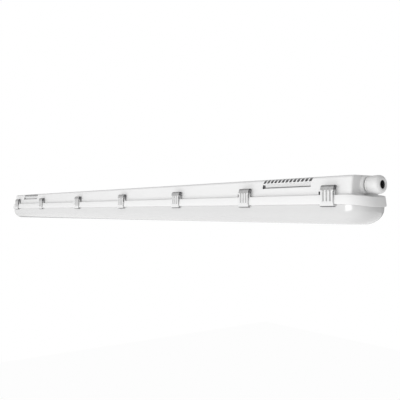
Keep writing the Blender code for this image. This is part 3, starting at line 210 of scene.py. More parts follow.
def plan_loop(bm, half_x, half_y, radius, depth, share=0.0):
    """A wire loop, a rectangle with round corners, at one depth. Gives its edges."""
    square = bmesh.ops.create_grid(bm, x_segments=1, y_segments=1, size=1.0)["verts"]
    for vert in square:
        vert.co.x = math.copysign(half_x, vert.co.x)
        vert.co.y = math.copysign(half_y, vert.co.y)
    rounded = bmesh.ops.bevel(
        bm, geom=square, offset=radius, offset_type="OFFSET", segments=CORNER_STEPS,
        profile=0.5, affect="VERTICES", material=-1, clamp_overlap=False,
    )
    face = max(rounded["verts"][0].link_faces, key=lambda item: len(item.verts))
    edges = list(face.edges)
    for vert in face.verts:
        past = max(0.0, abs(vert.co.x) - HALF_LENGTH + RIM_RADIUS)
        vert.co.z = -depth - share * END_DROOP * (past / RIM_RADIUS) ** 2
    bmesh.ops.delete(bm, geom=[face], context="FACES_ONLY")
    return edges


def rim_loop(bm, inset, depth, share=1.0, end_inset=0.0):
    """A loop parallel to the rim's outer edge, inset from it, and by end_inset more at the two ends."""
    half_x = HALF_LENGTH - inset - end_inset
    return plan_loop(bm, half_x, HALF_WIDTH - inset, RIM_RADIUS - inset, depth, share)


def skin(bm, loops):
    """Bridges each loop to the next, and closes the first and the last one with a face."""
    for start, end in zip(loops, loops[1:]):
        bmesh.ops.bridge_loops(bm, edges=start + end)
    for loop in (loops[0], loops[-1]):
        bmesh.ops.contextual_create(bm, geom=loop)


def round_over(bm, edges, width, steps=3):
    """Takes the sharpness off a run of edges."""
    live = [edge for edge in edges if edge.is_valid]
    bmesh.ops.bevel(
        bm, geom=live, offset=width, offset_type="OFFSET", segments=steps, profile=0.5,
        affect="EDGES", material=-1, clamp_overlap=True,
    )


# %% [markdown]
# A finished bmesh becomes an object here. Curved faces are shaded smooth, and edges sharper than the given
# angle stay crisp. The object's origin is the world's, with its place in the mesh, as the frame's pieces
# have it, so that a noise pattern doesn't slide when the piece moves.

# %% From bmesh to piece, and cutting one piece with another
FLAT_ANGLE = 32.0
ROUND_ANGLE = 40.0
SHEET_ANGLE = 50.0


def piece(name, bm, look, angle=FLAT_ANGLE):
    bmesh.ops.recalc_face_normals(bm, faces=bm.faces)
    mesh = bpy.data.meshes.new(name)
    bm.to_mesh(mesh)
    bm.free()
    mesh.shade_smooth()
    mesh.set_sharp_from_angle(angle=math.radians(angle))
    thing = bpy.data.objects.new(name, mesh)
    bpy.context.scene.collection.objects.link(thing)
    if look:
        mesh.materials.append(look)
    return thing


def combine(target, tool, operation, angle=FLAT_ANGLE):
    """Joins a tool to the target or cuts it away, then drops the tool."""
    step = target.modifiers.new("step", "BOOLEAN")
    step.operation = operation
    step.solver = "EXACT"
    step.material_mode = "TRANSFER"
    step.object = tool
    graph = bpy.context.evaluated_depsgraph_get()
    made = bpy.data.meshes.new_from_object(target.evaluated_get(graph))
    target.modifiers.remove(step)
    old = target.data
    target.data = made
    made.name = target.name
    bpy.data.meshes.remove(old)
    bpy.data.objects.remove(tool)
    made.shade_smooth()
    made.set_sharp_from_angle(angle=math.radians(angle))


def open_edges(thing):
    """How many edges don't have exactly two faces. A closed piece has none."""
    bm = bmesh.new()
    bm.from_mesh(thing.data)
    count = sum(1 for edge in bm.edges if len(edge.link_faces) != 2)
    bm.free()
    return count


def once(items):
    """Each item once, in the order given, which a set would shuffle."""
    return list(dict.fromkeys(items))


def block(bm, low, high, round_by=0.0):
    """A box between two corners, its edges rounded if asked. Gives the points of an unrounded one."""
    made = bmesh.ops.create_cube(bm, size=1.0)["verts"]
    low, high = Vector(low), Vector(high)
    bmesh.ops.scale(bm, vec=high - low, verts=made)
    bmesh.ops.translate(bm, vec=(low + high) / 2, verts=made)
    if round_by:
        round_over(bm, once(edge for vert in made for edge in vert.link_edges), round_by, 2)
    return made


test = bmesh.new()
skin(test, [rim_loop(test, 0.0, 0.04), rim_loop(test, 0.002, 0.05)])
spans = [max(v.co[i] for v in test.verts) - min(v.co[i] for v in test.verts) for i in range(3)]
print("trial loft", [round(v, 4) for v in spans], "open", sum(len(e.link_faces) != 2 for e in test.edges))
test.free()

# %% [markdown]
# The body is one injection moulding: a shallow box with slightly leaning sides, a ledge, and a rim band that
# flares a little and holds the gasket groove under it. Its loops run over the outside, through a narrow
# shadow groove above the ledge, round the rim, through the gasket groove and back up the inside to the roof.
# Then the rim's edges are rounded, as a mould leaves them.

# %% The moulded body
END_WALL = 0.72425
END_SLOPE = 0.12
BODY_HALF = 0.0348
BODY_CORNER = 0.0036
HOLLOW_CORNER = 0.002
WALL = 0.0028
LEDGE = 0.030
RIM_BOTTOM = 0.045
ROOF = 0.0324
ENTRY_DEPTH = 0.0152
SIDE_INSET = 0.0032
SHOULDER_IN = 0.0056
SHOULDER_DOWN = 0.0052
SHOULDER_STEPS = 8
TOP_INSET = SIDE_INSET + SHOULDER_IN
CREASE_INSET = 0.0006
CREASE_DEPTH = 0.0205
TUCK_IN = 0.0014
TUCK_HIGH = 0.0010
RIM_FLARE = 0.0019
RIM_LIP = 0.0022
GROOVE_OUTER = 0.0041
GROOVE_INNER = 0.0087
GROOVE_BACK = 0.0105
GROOVE_DEPTH = 0.008


def body_loop(bm, inset, depth):
    """A loop on the outside of the body above the ledge."""
    return plan_loop(bm, END_WALL - END_SLOPE * inset, BODY_HALF - inset, BODY_CORNER, depth)


def inner_loop(bm, inset, depth):
    """A loop on the inside, where the end walls stand upright."""
    half_x = END_WALL - WALL - END_SLOPE * TOP_INSET
    return plan_loop(bm, half_x, BODY_HALF - WALL - inset, HOLLOW_CORNER, depth)


def facet_half(depth):
    """Half the body's width at a depth on its leaning side."""
    lean = (SIDE_INSET - CREASE_INSET) / (CREASE_DEPTH - SHOULDER_DOWN)
    return BODY_HALF - SIDE_INSET + (depth - SHOULDER_DOWN) * lean


bm = bmesh.new()
outside = []
for step in range(SHOULDER_STEPS + 1):
    turn = math.radians(90.0 * step / SHOULDER_STEPS)
    inset = SIDE_INSET + SHOULDER_IN * (1 - math.sin(turn))
    outside.append(body_loop(bm, inset, SHOULDER_DOWN * (1 - math.cos(turn))))
crease = body_loop(bm, CREASE_INSET, CREASE_DEPTH)
foot = body_loop(bm, 0.0, LEDGE - TUCK_HIGH - 0.0002)
tuck = [body_loop(bm, TUCK_IN, LEDGE - TUCK_HIGH), body_loop(bm, TUCK_IN, LEDGE)]
ledge_edge = rim_loop(bm, RIM_FLARE, LEDGE)
rim_low = rim_loop(bm, 0.0, RIM_BOTTOM)
skirt = rim_loop(bm, RIM_LIP, RIM_BOTTOM)
groove = [rim_loop(bm, GROOVE_OUTER, ROOF), rim_loop(bm, GROOVE_INNER, ROOF),
          rim_loop(bm, GROOVE_INNER, ROOF + GROOVE_DEPTH)]
wall = [rim_loop(bm, GROOVE_BACK, ROOF + GROOVE_DEPTH), rim_loop(bm, GROOVE_BACK, ROOF)]
hollow = [inner_loop(bm, 0.0, ROOF), inner_loop(bm, CREASE_INSET, CREASE_DEPTH),
          inner_loop(bm, SIDE_INSET, SHOULDER_DOWN), inner_loop(bm, TOP_INSET, WALL)]
skin(bm, outside + [crease, foot] + tuck + [ledge_edge, rim_low, skirt] + groove + wall + hollow)
round_over(bm, crease, 0.0022, 3)
round_over(bm, foot, 0.0001, 2)
round_over(bm, ledge_edge, 0.0009, 4)
round_over(bm, rim_low, 0.0008, 3)
housing = piece("body_moulding", bm, body_grey)
print("body faces", len(housing.data.polygons), "open edges", open_edges(housing))

# %% [markdown]
# Near each end, on both sides, a spring bracket grips the body in a shallow channel under a comb of thirteen
# slanted slots. A deeper notch marks the channel's left end, and an undercut lip runs along its lower edge.
# Pads thicken the wall behind. Each of these is a section, listed as distances from the middle and depths,
# drawn as one face and pulled along the body. The channel's floor leans against the facet, so that the
# shadow gathers below, and a slot runs out at its top because the shoulder above it curves away.

# %% Bracket recesses
RECESS_MIDDLE = 0.585
RECESS_HALF = 0.0565
SLOT_COUNT = 13
SLOT_WIDTH = 0.0062
SLOT_LEAN = 0.0038
SLOT_BOTTOM = 0.0068
SLOT_TOP = 0.0010
SLOT_REACH = 0.041
NOTCH_START = -0.0006
NOTCH_END = 0.0046
LIP_MARGIN = 0.001
PAD_MARGIN = 0.004
HIGH, LOW = facet_half(0.0083), facet_half(0.0155)
CHANNEL = ((HIGH - 0.0010, 0.0083), (LOW - 0.0030, 0.0155), (LOW + 0.002, 0.01629), (HIGH + 0.002, 0.0083))
NOTCH = ((HIGH - 0.0040, 0.0098), (LOW - 0.0040, 0.0160), (LOW + 0.002, 0.0166), (HIGH + 0.002, 0.0098))
LIP = ((LOW - 0.0060, 0.0138), (LOW - 0.0060, 0.0155), (LOW - 0.0020, 0.0157), (HIGH - 0.0008, 0.0140))
PAD = ((0.0215, 0.0022), (0.0225, 0.0052), (0.0250, 0.0185), (0.03246, 0.0185), (0.0302, 0.0052),
       (0.0274, 0.0022))


def bar(bm, section, side, start, end, round_by=0.0):
    """A closed section of (out, depth) points on one side of the body, pulled along X from start to end."""
    face = bm.faces.new([bm.verts.new((start, side * out, -depth)) for out, depth in section])
    pulled = bmesh.ops.extrude_face_region(bm, geom=[face], use_keep_orig=True)["geom"]
    verts = [item for item in pulled if isinstance(item, bmesh.types.BMVert)]
    bmesh.ops.translate(bm, vec=(end - start, 0.0, 0.0), verts=verts)
    if round_by:
        verts = once(vert for item in face.verts for edge in item.link_edges for vert in edge.verts)
        round_over(bm, once(edge for vert in verts for edge in vert.link_edges), round_by, 2)


def pocket(bm, left, side):
    """Cutter of one slot: it leans along the body, is deep at its foot and runs out on the shoulder above."""
    corners = []
    levels = ((SLOT_BOTTOM, 0.0, facet_half(SLOT_BOTTOM) - 0.0070), (SLOT_TOP, SLOT_LEAN, 0.0282))
    for depth, lean, floor in levels:
        for x in (left + lean, left + lean + SLOT_WIDTH):
            for y in (floor, SLOT_REACH):
                corners.append(bm.verts.new((x, side * y, -depth)))
    sides = ((0, 1, 3, 2), (4, 6, 7, 5), (0, 4, 5, 1), (2, 3, 7, 6), (0, 2, 6, 4), (1, 5, 7, 3))
    faces = [bm.faces.new([corners[number] for number in quad]) for quad in sides]
    round_over(bm, once(edge for face in faces for edge in face.edges), 0.0006, 2)


# The recesses take darker greys, painted shade: the notches and the beads darkest, the slots and the lip
# dark, the channel a little darker than the body.
painted_shade_deep = finish("painted_shade_deep", (0.18, 0.18, 0.185), 0.6, drift=0.05, grain=1400.0, bump=0.05)
painted_shade_slot = finish("painted_shade_slot", (0.36, 0.36, 0.365), 0.6, drift=0.05, grain=1400.0, bump=0.05)
painted_shade_channel = finish("painted_shade_channel", (0.66, 0.66, 0.66), 0.5, drift=0.02, grain=1400.0, bump=0.05)
painted_shade_lip = finish("painted_shade_lip", (0.38, 0.38, 0.385), 0.6, drift=0.05, grain=1400.0, bump=0.05)
pads, channels, notches, slots, lips = (bmesh.new() for _ in range(5))
for end in (-1, 1):
    start = end * RECESS_MIDDLE - RECESS_HALF
    stop = start + 2 * RECESS_HALF
    for side in (-1, 1):
        bar(channels, CHANNEL, side, start, stop, 0.0004)
        bar(notches, NOTCH, side, start + NOTCH_START, start + NOTCH_END, 0.0005)
        for index in range(SLOT_COUNT):
            pocket(slots, start + index * (2 * RECESS_HALF - SLOT_WIDTH) / (SLOT_COUNT - 1), side)
        bar(lips, LIP, side, start + LIP_MARGIN, stop - LIP_MARGIN)
        bar(pads, PAD, side, start - PAD_MARGIN, stop + PAD_MARGIN)
for name, cutter, look, way in (
    ("pads", pads, body_grey, "UNION"), ("channels", channels, painted_shade_channel, "DIFFERENCE"),
    ("lips", lips, painted_shade_lip, "DIFFERENCE"), ("notches", notches, painted_shade_deep, "DIFFERENCE"),
    ("slots", slots, painted_shade_slot, "DIFFERENCE"),
):
    combine(housing, piece(name, cutter, look), way)
    print("with", name, len(housing.data.polygons), "faces, open edges", open_edges(housing))

# %% [markdown]
# Turned shapes, such as the cable gland, are made on a lathe here: half the section is drawn once as a
# closed outline, its corners are rounded one by one, and a spin sweeps it round an axis along X at the height
# of the cable entry. The last step of a full spin is merged with the first, so the ring has no seam.

# %% A lathe
def lathe(bm, section, steps=64):
    """Spins a closed section of (x, radius, corner radius) round the axis of the cable entry."""
    corners = [bm.verts.new((x, 0.0, radius - ENTRY_DEPTH)) for x, radius, _ in section]
    bm.faces.new(corners)
    for corner, (_, _, soft) in zip(corners, section):
        if soft:
            bmesh.ops.bevel(bm, geom=[corner], offset=soft, offset_type="OFFSET", segments=4, profile=0.5,
                            affect="VERTICES", material=-1, clamp_overlap=True)
    outline = max((f for f in bm.faces if f.is_valid and not f.tag), key=lambda f: len(f.verts))
    edges, verts = list(outline.edges), list(outline.verts)
    bmesh.ops.delete(bm, geom=[outline], context="FACES_ONLY")
    bmesh.ops.spin(bm, geom=edges + verts, cent=(0.0, 0.0, -ENTRY_DEPTH), axis=(1.0, 0.0, 0.0),
                   dvec=(0.0, 0.0, 0.0), angle=math.tau, steps=steps, use_merge=True,
                   use_normal_flip=False, use_duplicate=False)
    for face in bm.faces:
        face.tag = True


def rod(bm, place, radius, length, steps=24):
    """A round bar along X about its middle."""
    made = bmesh.ops.create_cone(bm, cap_ends=True, segments=steps, radius1=radius, radius2=radius,
                                 depth=length)["verts"]
    bmesh.ops.rotate(bm, cent=(0, 0, 0), matrix=Matrix.Rotation(math.pi / 2, 3, "Y"), verts=made)
    bmesh.ops.translate(bm, vec=place, verts=made)


# %% [markdown]
# The clips turn on beads that the body carries on low lugs along the ledge: a flat base with a slit in its
# left part, a thin neck and a round bead. The base reaches further to the left, as the picture shows it.

# %% Lugs
CLIP_SHARES = (0.0, 0.154, 0.345, 0.526, 0.697, 0.857, 1.0)
CLIP_SPAN = 0.684
CLIP_PLACES = [(2 * share - 1) * CLIP_SPAN for share in CLIP_SHARES]
PIVOT_OUT = 0.0392
PIVOT_DEPTH = 0.019
BEAD_RADIUS = 0.003
BEAD_LENGTH = 0.0232
BASE_LEFT, BASE_RIGHT = 0.0200, 0.0125
BASE_HALF = 0.001
BASE_TOP, BASE_BOTTOM = 0.0245, 0.0306
NECK_LEFT, NECK_RIGHT = 0.011, 0.0112
NECK_HALF = 0.0008
NECK_BOTTOM = 0.0251
SLIT_LEFT, SLIT_RIGHT = 0.0197, 0.0165
SLIT_NEAR, SLIT_FAR = 0.0388, 0.0406
SLIT_TOP, SLIT_BOTTOM = 0.0238, 0.0297
bases, necks, beads, slits = (bmesh.new() for _ in range(4))
for place in CLIP_PLACES:
    for side in (-1, 1):
        out = side * PIVOT_OUT
        near, far = sorted((side * SLIT_NEAR, side * SLIT_FAR))
        block(bases, (place - BASE_LEFT, out - BASE_HALF, -BASE_BOTTOM),
              (place + BASE_RIGHT, out + BASE_HALF, -BASE_TOP), 0.0004)
        block(necks, (place - NECK_LEFT, out - NECK_HALF, -NECK_BOTTOM),
              (place + NECK_RIGHT, out + NECK_HALF, -PIVOT_DEPTH))
        rod(beads, (place, out, -PIVOT_DEPTH), BEAD_RADIUS, BEAD_LENGTH)
        block(slits, (place - SLIT_LEFT, near, -SLIT_BOTTOM), (place - SLIT_RIGHT, far, -SLIT_TOP), 0.0001)
# Painted shade: the beads take the darkest grey, for the shade inside each clip's rolled head, and the slits'
# walls are black, for the shade in them.
for name, tool, look, way in (
    ("bases", bases, body_grey, "UNION"), ("necks", necks, body_grey, "UNION"),
    ("beads", beads, painted_shade_deep, "UNION"), ("pockets", slits, black_rubber_and_painted_shade, "DIFFERENCE"),
):
    combine(housing, piece(name, tool, look), way)
    print("with", name, "open edges", open_edges(housing))

# %% [markdown]
# The entry boss and the seat of the blanking plug are the body's too, and both walls are bored. Four pillars
# under the roof hold the tray's catches. At the end, points that the cuts left doubled are merged.

# %% Boss, seat, bores and pillars
BOSS_TIP = END_WALL + 0.005
BOSS_ROOT = END_WALL - 0.0014
SEAT_FACE = END_WALL + 0.0006
BORE_RADIUS = 0.0102
CORE_RADIUS = 0.0051
PILLAR_X, PILLAR_Y = 0.475, 0.022
PILLAR_LENGTH = 0.0271
PILLAR_MIDDLE = 0.01515
WELD = 0.000001
boss, seat, bores, pillars = (bmesh.new() for _ in range(4))
lathe(boss, ((BOSS_ROOT, 0.0149, 0.0), (END_WALL + 0.0024, 0.0149, 0.0020), (BOSS_TIP, 0.0121, 0.0010),
             (BOSS_TIP, CORE_RADIUS, 0.0), (BOSS_ROOT, CORE_RADIUS, 0.0)))
lathe(seat, ((-BOSS_ROOT, CORE_RADIUS, 0.0), (-SEAT_FACE, CORE_RADIUS, 0.0), (-SEAT_FACE, 0.0136, 0.0003),
             (-BOSS_ROOT, 0.0136, 0.0)))
rod(bores, (END_WALL, 0.0, -ENTRY_DEPTH), BORE_RADIUS, 0.016, 64)
rod(bores, (-END_WALL, 0.0, -ENTRY_DEPTH), BORE_RADIUS, 0.010, 64)
for x in (-PILLAR_X, PILLAR_X):
    for y in (-PILLAR_Y, PILLAR_Y):
        made = bmesh.ops.create_cone(pillars, cap_ends=True, segments=28, radius1=0.004, radius2=0.0042,
                                     depth=PILLAR_LENGTH)["verts"]
        bmesh.ops.translate(pillars, vec=(x, y, -PILLAR_MIDDLE), verts=made)
for name, tool, way in (("boss", boss, "UNION"), ("seat", seat, "UNION"), ("bores", bores, "DIFFERENCE"),
                        ("pillars", pillars, "UNION")):
    combine(housing, piece(name, tool, None), way)
    print("with", name, "open edges", open_edges(housing))
bm = bmesh.new()
bm.from_mesh(housing.data)
bmesh.ops.remove_doubles(bm, verts=bm.verts, dist=WELD)
bm.to_mesh(housing.data)
bm.free()
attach(housing, "fixture")
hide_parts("housing")
print("body", len(housing.data.polygons), "faces, open edges", open_edges(housing))

# %% [markdown]
# The cover is a deep opal tray with ends rounded in both directions. Its side drops almost straight and then
# turns under in a long quarter curve, and the wall is 2 mm all over: the same loops, moved in by the wall,
# make the inside. A thin upstand on its shoulder reaches into the gasket groove of the body, and under each
# clip a small ledge gives the steel foot its hold.

# %% The opal cover
COVER_BOTTOM = 0.076
COVER_WALL = 0.002
COVER_INSET = 0.004
COVER_CURVE_IN = 0.023
COVER_END_BACK = 0.0045
COVER_STEPS = 14
UPSTAND_TOP = ROOF + 0.0040
UPSTAND_INSET = 0.0054
SHOULDER = RIM_BOTTOM - 0.001
SHOULDER_INSET = 0.0032
SIDE_LOW = RIM_BOTTOM + 0.008
LEDGE_HALF = 0.0155
LEDGE_NEAR, LEDGE_FAR = 0.0392, 0.042
LEDGE_TOP, LEDGE_LOW = 0.0453, 0.0475
bm = bmesh.new()
outer = [rim_loop(bm, UPSTAND_INSET, UPSTAND_TOP), rim_loop(bm, UPSTAND_INSET, SHOULDER),
         rim_loop(bm, SHOULDER_INSET, SHOULDER)]
inner = [rim_loop(bm, UPSTAND_INSET + COVER_WALL, UPSTAND_TOP),
         rim_loop(bm, UPSTAND_INSET + COVER_WALL, SHOULDER + 0.0014),
         rim_loop(bm, SHOULDER_INSET + COVER_WALL, SHOULDER + 0.0026)]
hem = outer[-1]
outer.append(rim_loop(bm, SHOULDER_INSET + 0.0001, SHOULDER + 0.0012))
for step in range(COVER_STEPS + 1):
    turn = math.radians(90.0 * step / COVER_STEPS)
    across, down = 1 - math.cos(turn), math.sin(turn)
    inset, back = COVER_INSET + COVER_CURVE_IN * across, COVER_END_BACK * down
    fall = (COVER_BOTTOM - SIDE_LOW) * down, (COVER_BOTTOM - COVER_WALL - SIDE_LOW) * down
    outer.append(rim_loop(bm, inset, SIDE_LOW + fall[0], 1 - down, back))
    inner.append(rim_loop(bm, inset + COVER_WALL, SIDE_LOW + fall[1], 1 - down, back))
skin(bm, list(reversed(inner)) + outer)
round_over(bm, hem, 0.0005, 2)
cover = piece("opal_cover", bm, opal_white, ROUND_ANGLE)
ledges = bmesh.new()
for place in CLIP_PLACES:
    for side in (-1, 1):
        near, far = sorted((side * LEDGE_NEAR, side * LEDGE_FAR))
        block(ledges, (place - LEDGE_HALF, near, -LEDGE_LOW), (place + LEDGE_HALF, far, -LEDGE_TOP), 0.0004)
combine(cover, piece("ledges", ledges, None), "UNION", ROUND_ANGLE)
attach(cover, "fixture")
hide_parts("diffuser")
print("cover", len(cover.data.polygons), "faces, open edges", open_edges(cover))

# %% [markdown]
# A clip is bent from a flat steel blank, and the model is made the same way. A flat grid is the blank; each
# of its rows is laid at one point of the bending line, which rolls round the bead, drops down the rim and
# hooks under the cover. Columns near a flute are pressed in between the bends. Only then does the sheet get
# its thickness. Last, the rolled head and the flutes take the duller steel, which is also painted darker as
# shade, and the bottom of the hook and the head's side faces take a near black steel, painted shade.

# %% The bending line
SHEET = 0.0009
CLEARANCE = 0.0004
HEAD_HALF = 0.0132
WAIST_HALF = 0.0122
FOOT_HALF = 0.0139
CURL_START = 28.0
CURL_STEPS = 16
BEND_RADIUS = 0.0027
CLIP_OUT = 0.0448
CLIP_COLUMNS = 44
FLUTES = (-0.0068, 0.0, 0.0068)
FLUTE_HALF = 0.0022
FLUTE_DEEP = 0.0008
HEAD_LEVEL = -0.0226
FLUTE_LEVEL = -0.0405
FOOT_LEVEL = -0.0472


def bending_line():
    """Rows of (out from pivot, down from pivot, half width, how far the flutes are pressed)."""
    middle = BEAD_RADIUS + CLEARANCE + SHEET / 2
    body_out = CLIP_OUT - SHEET / 2 - PIVOT_OUT
    hook_level = LEDGE_LOW + CLEARANCE + SHEET / 2 - PIVOT_DEPTH
    low = hook_level - BEND_RADIUS
    rows = []
    for step in range(CURL_STEPS + 1):
        turn = math.radians(CURL_START + (180.0 - CURL_START) * step / CURL_STEPS)
        rows.append((-middle * math.cos(turn), -middle * math.sin(turn), HEAD_HALF, 0.0))
    for down, half, press in (
        (0.0020, HEAD_HALF, 0.0), (0.0034, HEAD_HALF, 0.6), (0.0048, HEAD_HALF, 1.0),
        (0.0060, 0.0126, 1.0), (0.0074, WAIST_HALF, 1.0), (0.0190, WAIST_HALF, 1.0),
        (0.0210, WAIST_HALF, 0.7), (0.0228, 0.0124, 0.0), (0.0245, 0.0130, 0.0),
    ):
        rows.append((middle + (body_out - middle) * min(1.0, down / 0.0048), down, half, press))
    rows.append((body_out, low, FOOT_HALF, 0.0))
    for turn in (18, 36, 54, 72, 90):
        angle = math.radians(turn)
        back, down = BEND_RADIUS * (1 - math.cos(angle)), BEND_RADIUS * math.sin(angle)
        rows.append((body_out - back, low + down, FOOT_HALF, 0.0))
    rows.append((HALF_WIDTH - 0.0022 - PIVOT_OUT, hook_level, FOOT_HALF, 0.0))
    return rows


rows = bending_line()
print(len(rows), "rows, the sheet is about", round(1000 * sum(
    math.hypot(b[0] - a[0], b[1] - a[1]) for a, b in zip(rows, rows[1:])), 1), "mm long")

# %% The clips
def from_flute(x):
    """How far a place across the clip is from the middle of the nearest flute."""
    return min(abs(x - centre) for centre in FLUTES)


def bent_clip(name, place, side):
    bm = bmesh.new()
    bmesh.ops.create_grid(bm, x_segments=CLIP_COLUMNS, y_segments=len(rows) - 1, size=1.0)
    for vert in bm.verts:
        row = round((vert.co.y + 1) / 2 * (len(rows) - 1))
        out, down, half, press = rows[row]
        before, after = rows[max(row - 1, 0)], rows[min(row + 1, len(rows) - 1)]
        along = Vector((after[0] - before[0], after[1] - before[1])).normalized()
        x = vert.co.x * half
        reach = min(1.0, from_flute(x) / FLUTE_HALF)
        dent = FLUTE_DEEP * press * max(0.0, math.cos(reach * math.pi / 2)) ** 2
        out += along.y * (SHEET / 2 - dent)
        down -= along.x * (SHEET / 2 - dent)
        vert.co = (place + x, -PIVOT_OUT - out, -PIVOT_DEPTH - down)
    bmesh.ops.recalc_face_normals(bm, faces=bm.faces)
    rim = [edge for edge in bm.edges if len(edge.link_faces) == 1]
    bmesh.ops.solidify(bm, geom=bm.faces[:] + rim, thickness=SHEET)
    if side > 0:
        bmesh.ops.scale(bm, vec=(1.0, -1.0, 1.0), verts=bm.verts)
    bm.normal_update()
    # Painted shade: the head and the flutes take the darker steel, the bottom of the hook and the head's side
    # faces the near black one.
    for face in bm.faces:
        middle = face.calc_center_median()
        head = middle.z > HEAD_LEVEL
        fluted = middle.z > FLUTE_LEVEL and from_flute(middle.x - place) < 0.0019
        cut = middle.z < FOOT_LEVEL or (head and abs(face.normal.x) > 0.8)
        face.material_index = 2 if cut else int(head or fluted)
    made = piece(name, bm, sheet_steel, SHEET_ANGLE)
    made.data.materials.append(dull_steel_and_painted_shade)
    made.data.materials.append(painted_shade_steel)
    return made


for number, place in enumerate(CLIP_PLACES, 1):
    for side, word in ((-1, "front"), (1, "rear")):
        made = bent_clip(f"steel_clip_{word}_{number}", place, side)
        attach(made, f"clip_{word}_{number}")
        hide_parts(f"clip_{word}_{number}")
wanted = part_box(f"clip_{word}_{number}")
made_low = [min(v.co[i] for v in made.data.vertices) for i in range(3)]
made_high = [max(v.co[i] for v in made.data.vertices) for i in range(3)]
print("clip", [round(v, 4) for v in made_low + made_high], "open edges", open_edges(made))
print("frame has", [round(v, 4) for v in [*wanted[0], *wanted[1]]])

# %% [markdown]
# The cable gland is a stack of turned pieces: a rubber ring against the boss, a body with a low collar, a
# rubber insert that grips the cable, a ring of claws, and the big nut that squeezes them. Each section is
# listed as (place along X, radius, how much its corner is rounded). With no cable fitted one looks straight
# into the dark bore.

# %% Gland pieces
gap = 0.0003
ring_start = BOSS_TIP + gap
ring_end = ring_start + 0.0016
collar = ring_end + gap
neck = collar + 0.0032
mouth = neck + 0.0155
spigot = END_WALL - WALL - END_SLOPE * TOP_INSET - gap - 0.0066
nut_back = neck + gap
nut_front = nut_back + 0.0208
nut_shoulder = nut_front - 0.0052
swell = nut_back + 0.55 * (nut_shoulder - nut_back)
claw_start, claw_end = mouth + gap, mouth + gap + 0.003
seal_end = mouth - 0.0065
THREAD = 0.0098
BARREL = 0.0112
BARREL_BORE = 0.0097
SPIGOT_BORE = 0.0076
COLLAR = 0.0134
RING_INNER, RING_OUTER = 0.0101, 0.0120
NUT_BORE = BARREL + 0.0004
NUT_MOUTH = 0.0068
claw_black = finish("claw_black", (0.03, 0.03, 0.032), 0.5, drift=0.1, grain=2500.0, bump=0.1)


def hand_over(made, node, body):
    """Lets a piece take the place of a node of the frame."""
    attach(made, body)
    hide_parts(node)
    print(made.name, len(made.data.polygons), "faces, open edges", open_edges(made))


def turned_piece(name, section, look, steps=72):
    bm = bmesh.new()
    lathe(bm, section, steps)
    return piece(name, bm, look, ROUND_ANGLE)


entry_ring = turned_piece("entry_ring", (
    (ring_start, RING_INNER, 0.0), (ring_start, RING_OUTER, 0.0004), (ring_end, RING_OUTER, 0.0004),
    (ring_end, RING_INNER, 0.0)), black_rubber_and_painted_shade)
barrel = turned_piece("gland_barrel", (
    (spigot, SPIGOT_BORE, 0.0003), (spigot, THREAD, 0.0006), (collar, THREAD, 0.0), (collar, COLLAR, 0.0005),
    (neck, COLLAR, 0.0005), (neck, BARREL, 0.0), (mouth, BARREL, 0.0003), (mouth, BARREL_BORE, 0.0),
    (seal_end, BARREL_BORE, 0.0), (seal_end, SPIGOT_BORE, 0.0)), gland_grey)
seal = turned_piece("cable_seal", (
    (seal_end + gap, 0.005, 0.0004), (seal_end + gap, 0.0094, 0.0004), (mouth, 0.0094, 0.0003),
    (mouth, 0.0052, 0.0005)), black_rubber_and_painted_shade)
hand_over(entry_ring, "gland_ring", "fixture")
hand_over(barrel, "gland_body", "fixture")
hand_over(seal, "gland_seal", "fixture")

# %% [markdown]
# The nut swells a little towards its rounded front. Twelve times round it a line of points sinks by a third
# of a millimetre, fading out to both sides, which leaves a shallow grip.

# %% Nut and grips
GRIPS = 12
GRIP_DEEP = 0.00028
GRIP_ABOVE = 0.0128
bm = bmesh.new()
lathe(bm, (
    (nut_back, NUT_BORE, 0.0), (nut_back, 0.0136, 0.0006), (swell, 0.0144, 0.003),
    (nut_shoulder, 0.0144, 0.0022), (nut_front - 0.0021, 0.0129, 0.0016), (nut_front, 0.0098, 0.0007),
    (nut_front, NUT_MOUTH, 0.0005), (claw_end + gap, NUT_MOUTH, 0.0), (claw_end + gap, NUT_BORE, 0.0)), 144)
for vert in bm.verts:
    arm = Vector((vert.co.y, vert.co.z + ENTRY_DEPTH))
    if arm.length > GRIP_ABOVE and nut_back + 0.0006 < vert.co.x < nut_shoulder + 0.0005:
        turn = (math.atan2(arm.y, arm.x) * GRIPS / math.tau) % 1.0
        near = min(turn, 1.0 - turn) * 12
        if near < 1.0:
            arm *= 1 - GRIP_DEEP * math.cos(near * math.pi / 2) ** 2 / arm.length
            vert.co.y, vert.co.z = arm.x, arm.y - ENTRY_DEPTH
hand_over(piece("gland_cap", bm, gland_grey, ROUND_ANGLE), "gland_nut", "gland_nut")

# %% [markdown]
# The claws start as a turned ring too. Eight slits part it into fingers.

# %% Claws
CLAW_COUNT = 8
SLIT_HALF = 0.0005
claws = turned_piece("claw_ring", (
    (claw_start, 0.0058, 0.0004), (claw_start, 0.0108, 0.0004), (claw_end, 0.0108, 0.0004),
    (claw_end, 0.0066, 0.0004)), claw_black, 48)
slits = bmesh.new()
for number in range(CLAW_COUNT):
    made = block(slits, (claw_start - 0.001, 0.0, -SLIT_HALF), (claw_end + 0.001, 0.0096, SLIT_HALF))
    spoke = Matrix.Rotation(number * math.tau / CLAW_COUNT, 3, "X")
    bmesh.ops.rotate(slits, cent=(0, 0, 0), matrix=spoke, verts=made)
bmesh.ops.translate(slits, vec=(0.0, 0.0, -ENTRY_DEPTH), verts=slits.verts)
combine(claws, piece("slits", slits, None), "DIFFERENCE", ROUND_ANGLE)
hand_over(claws, "gland_claws", "fixture")

# %% [markdown]
# A blanking plug closes the same hole in the far wall: a disc with a screwdriver slot over a black ring.

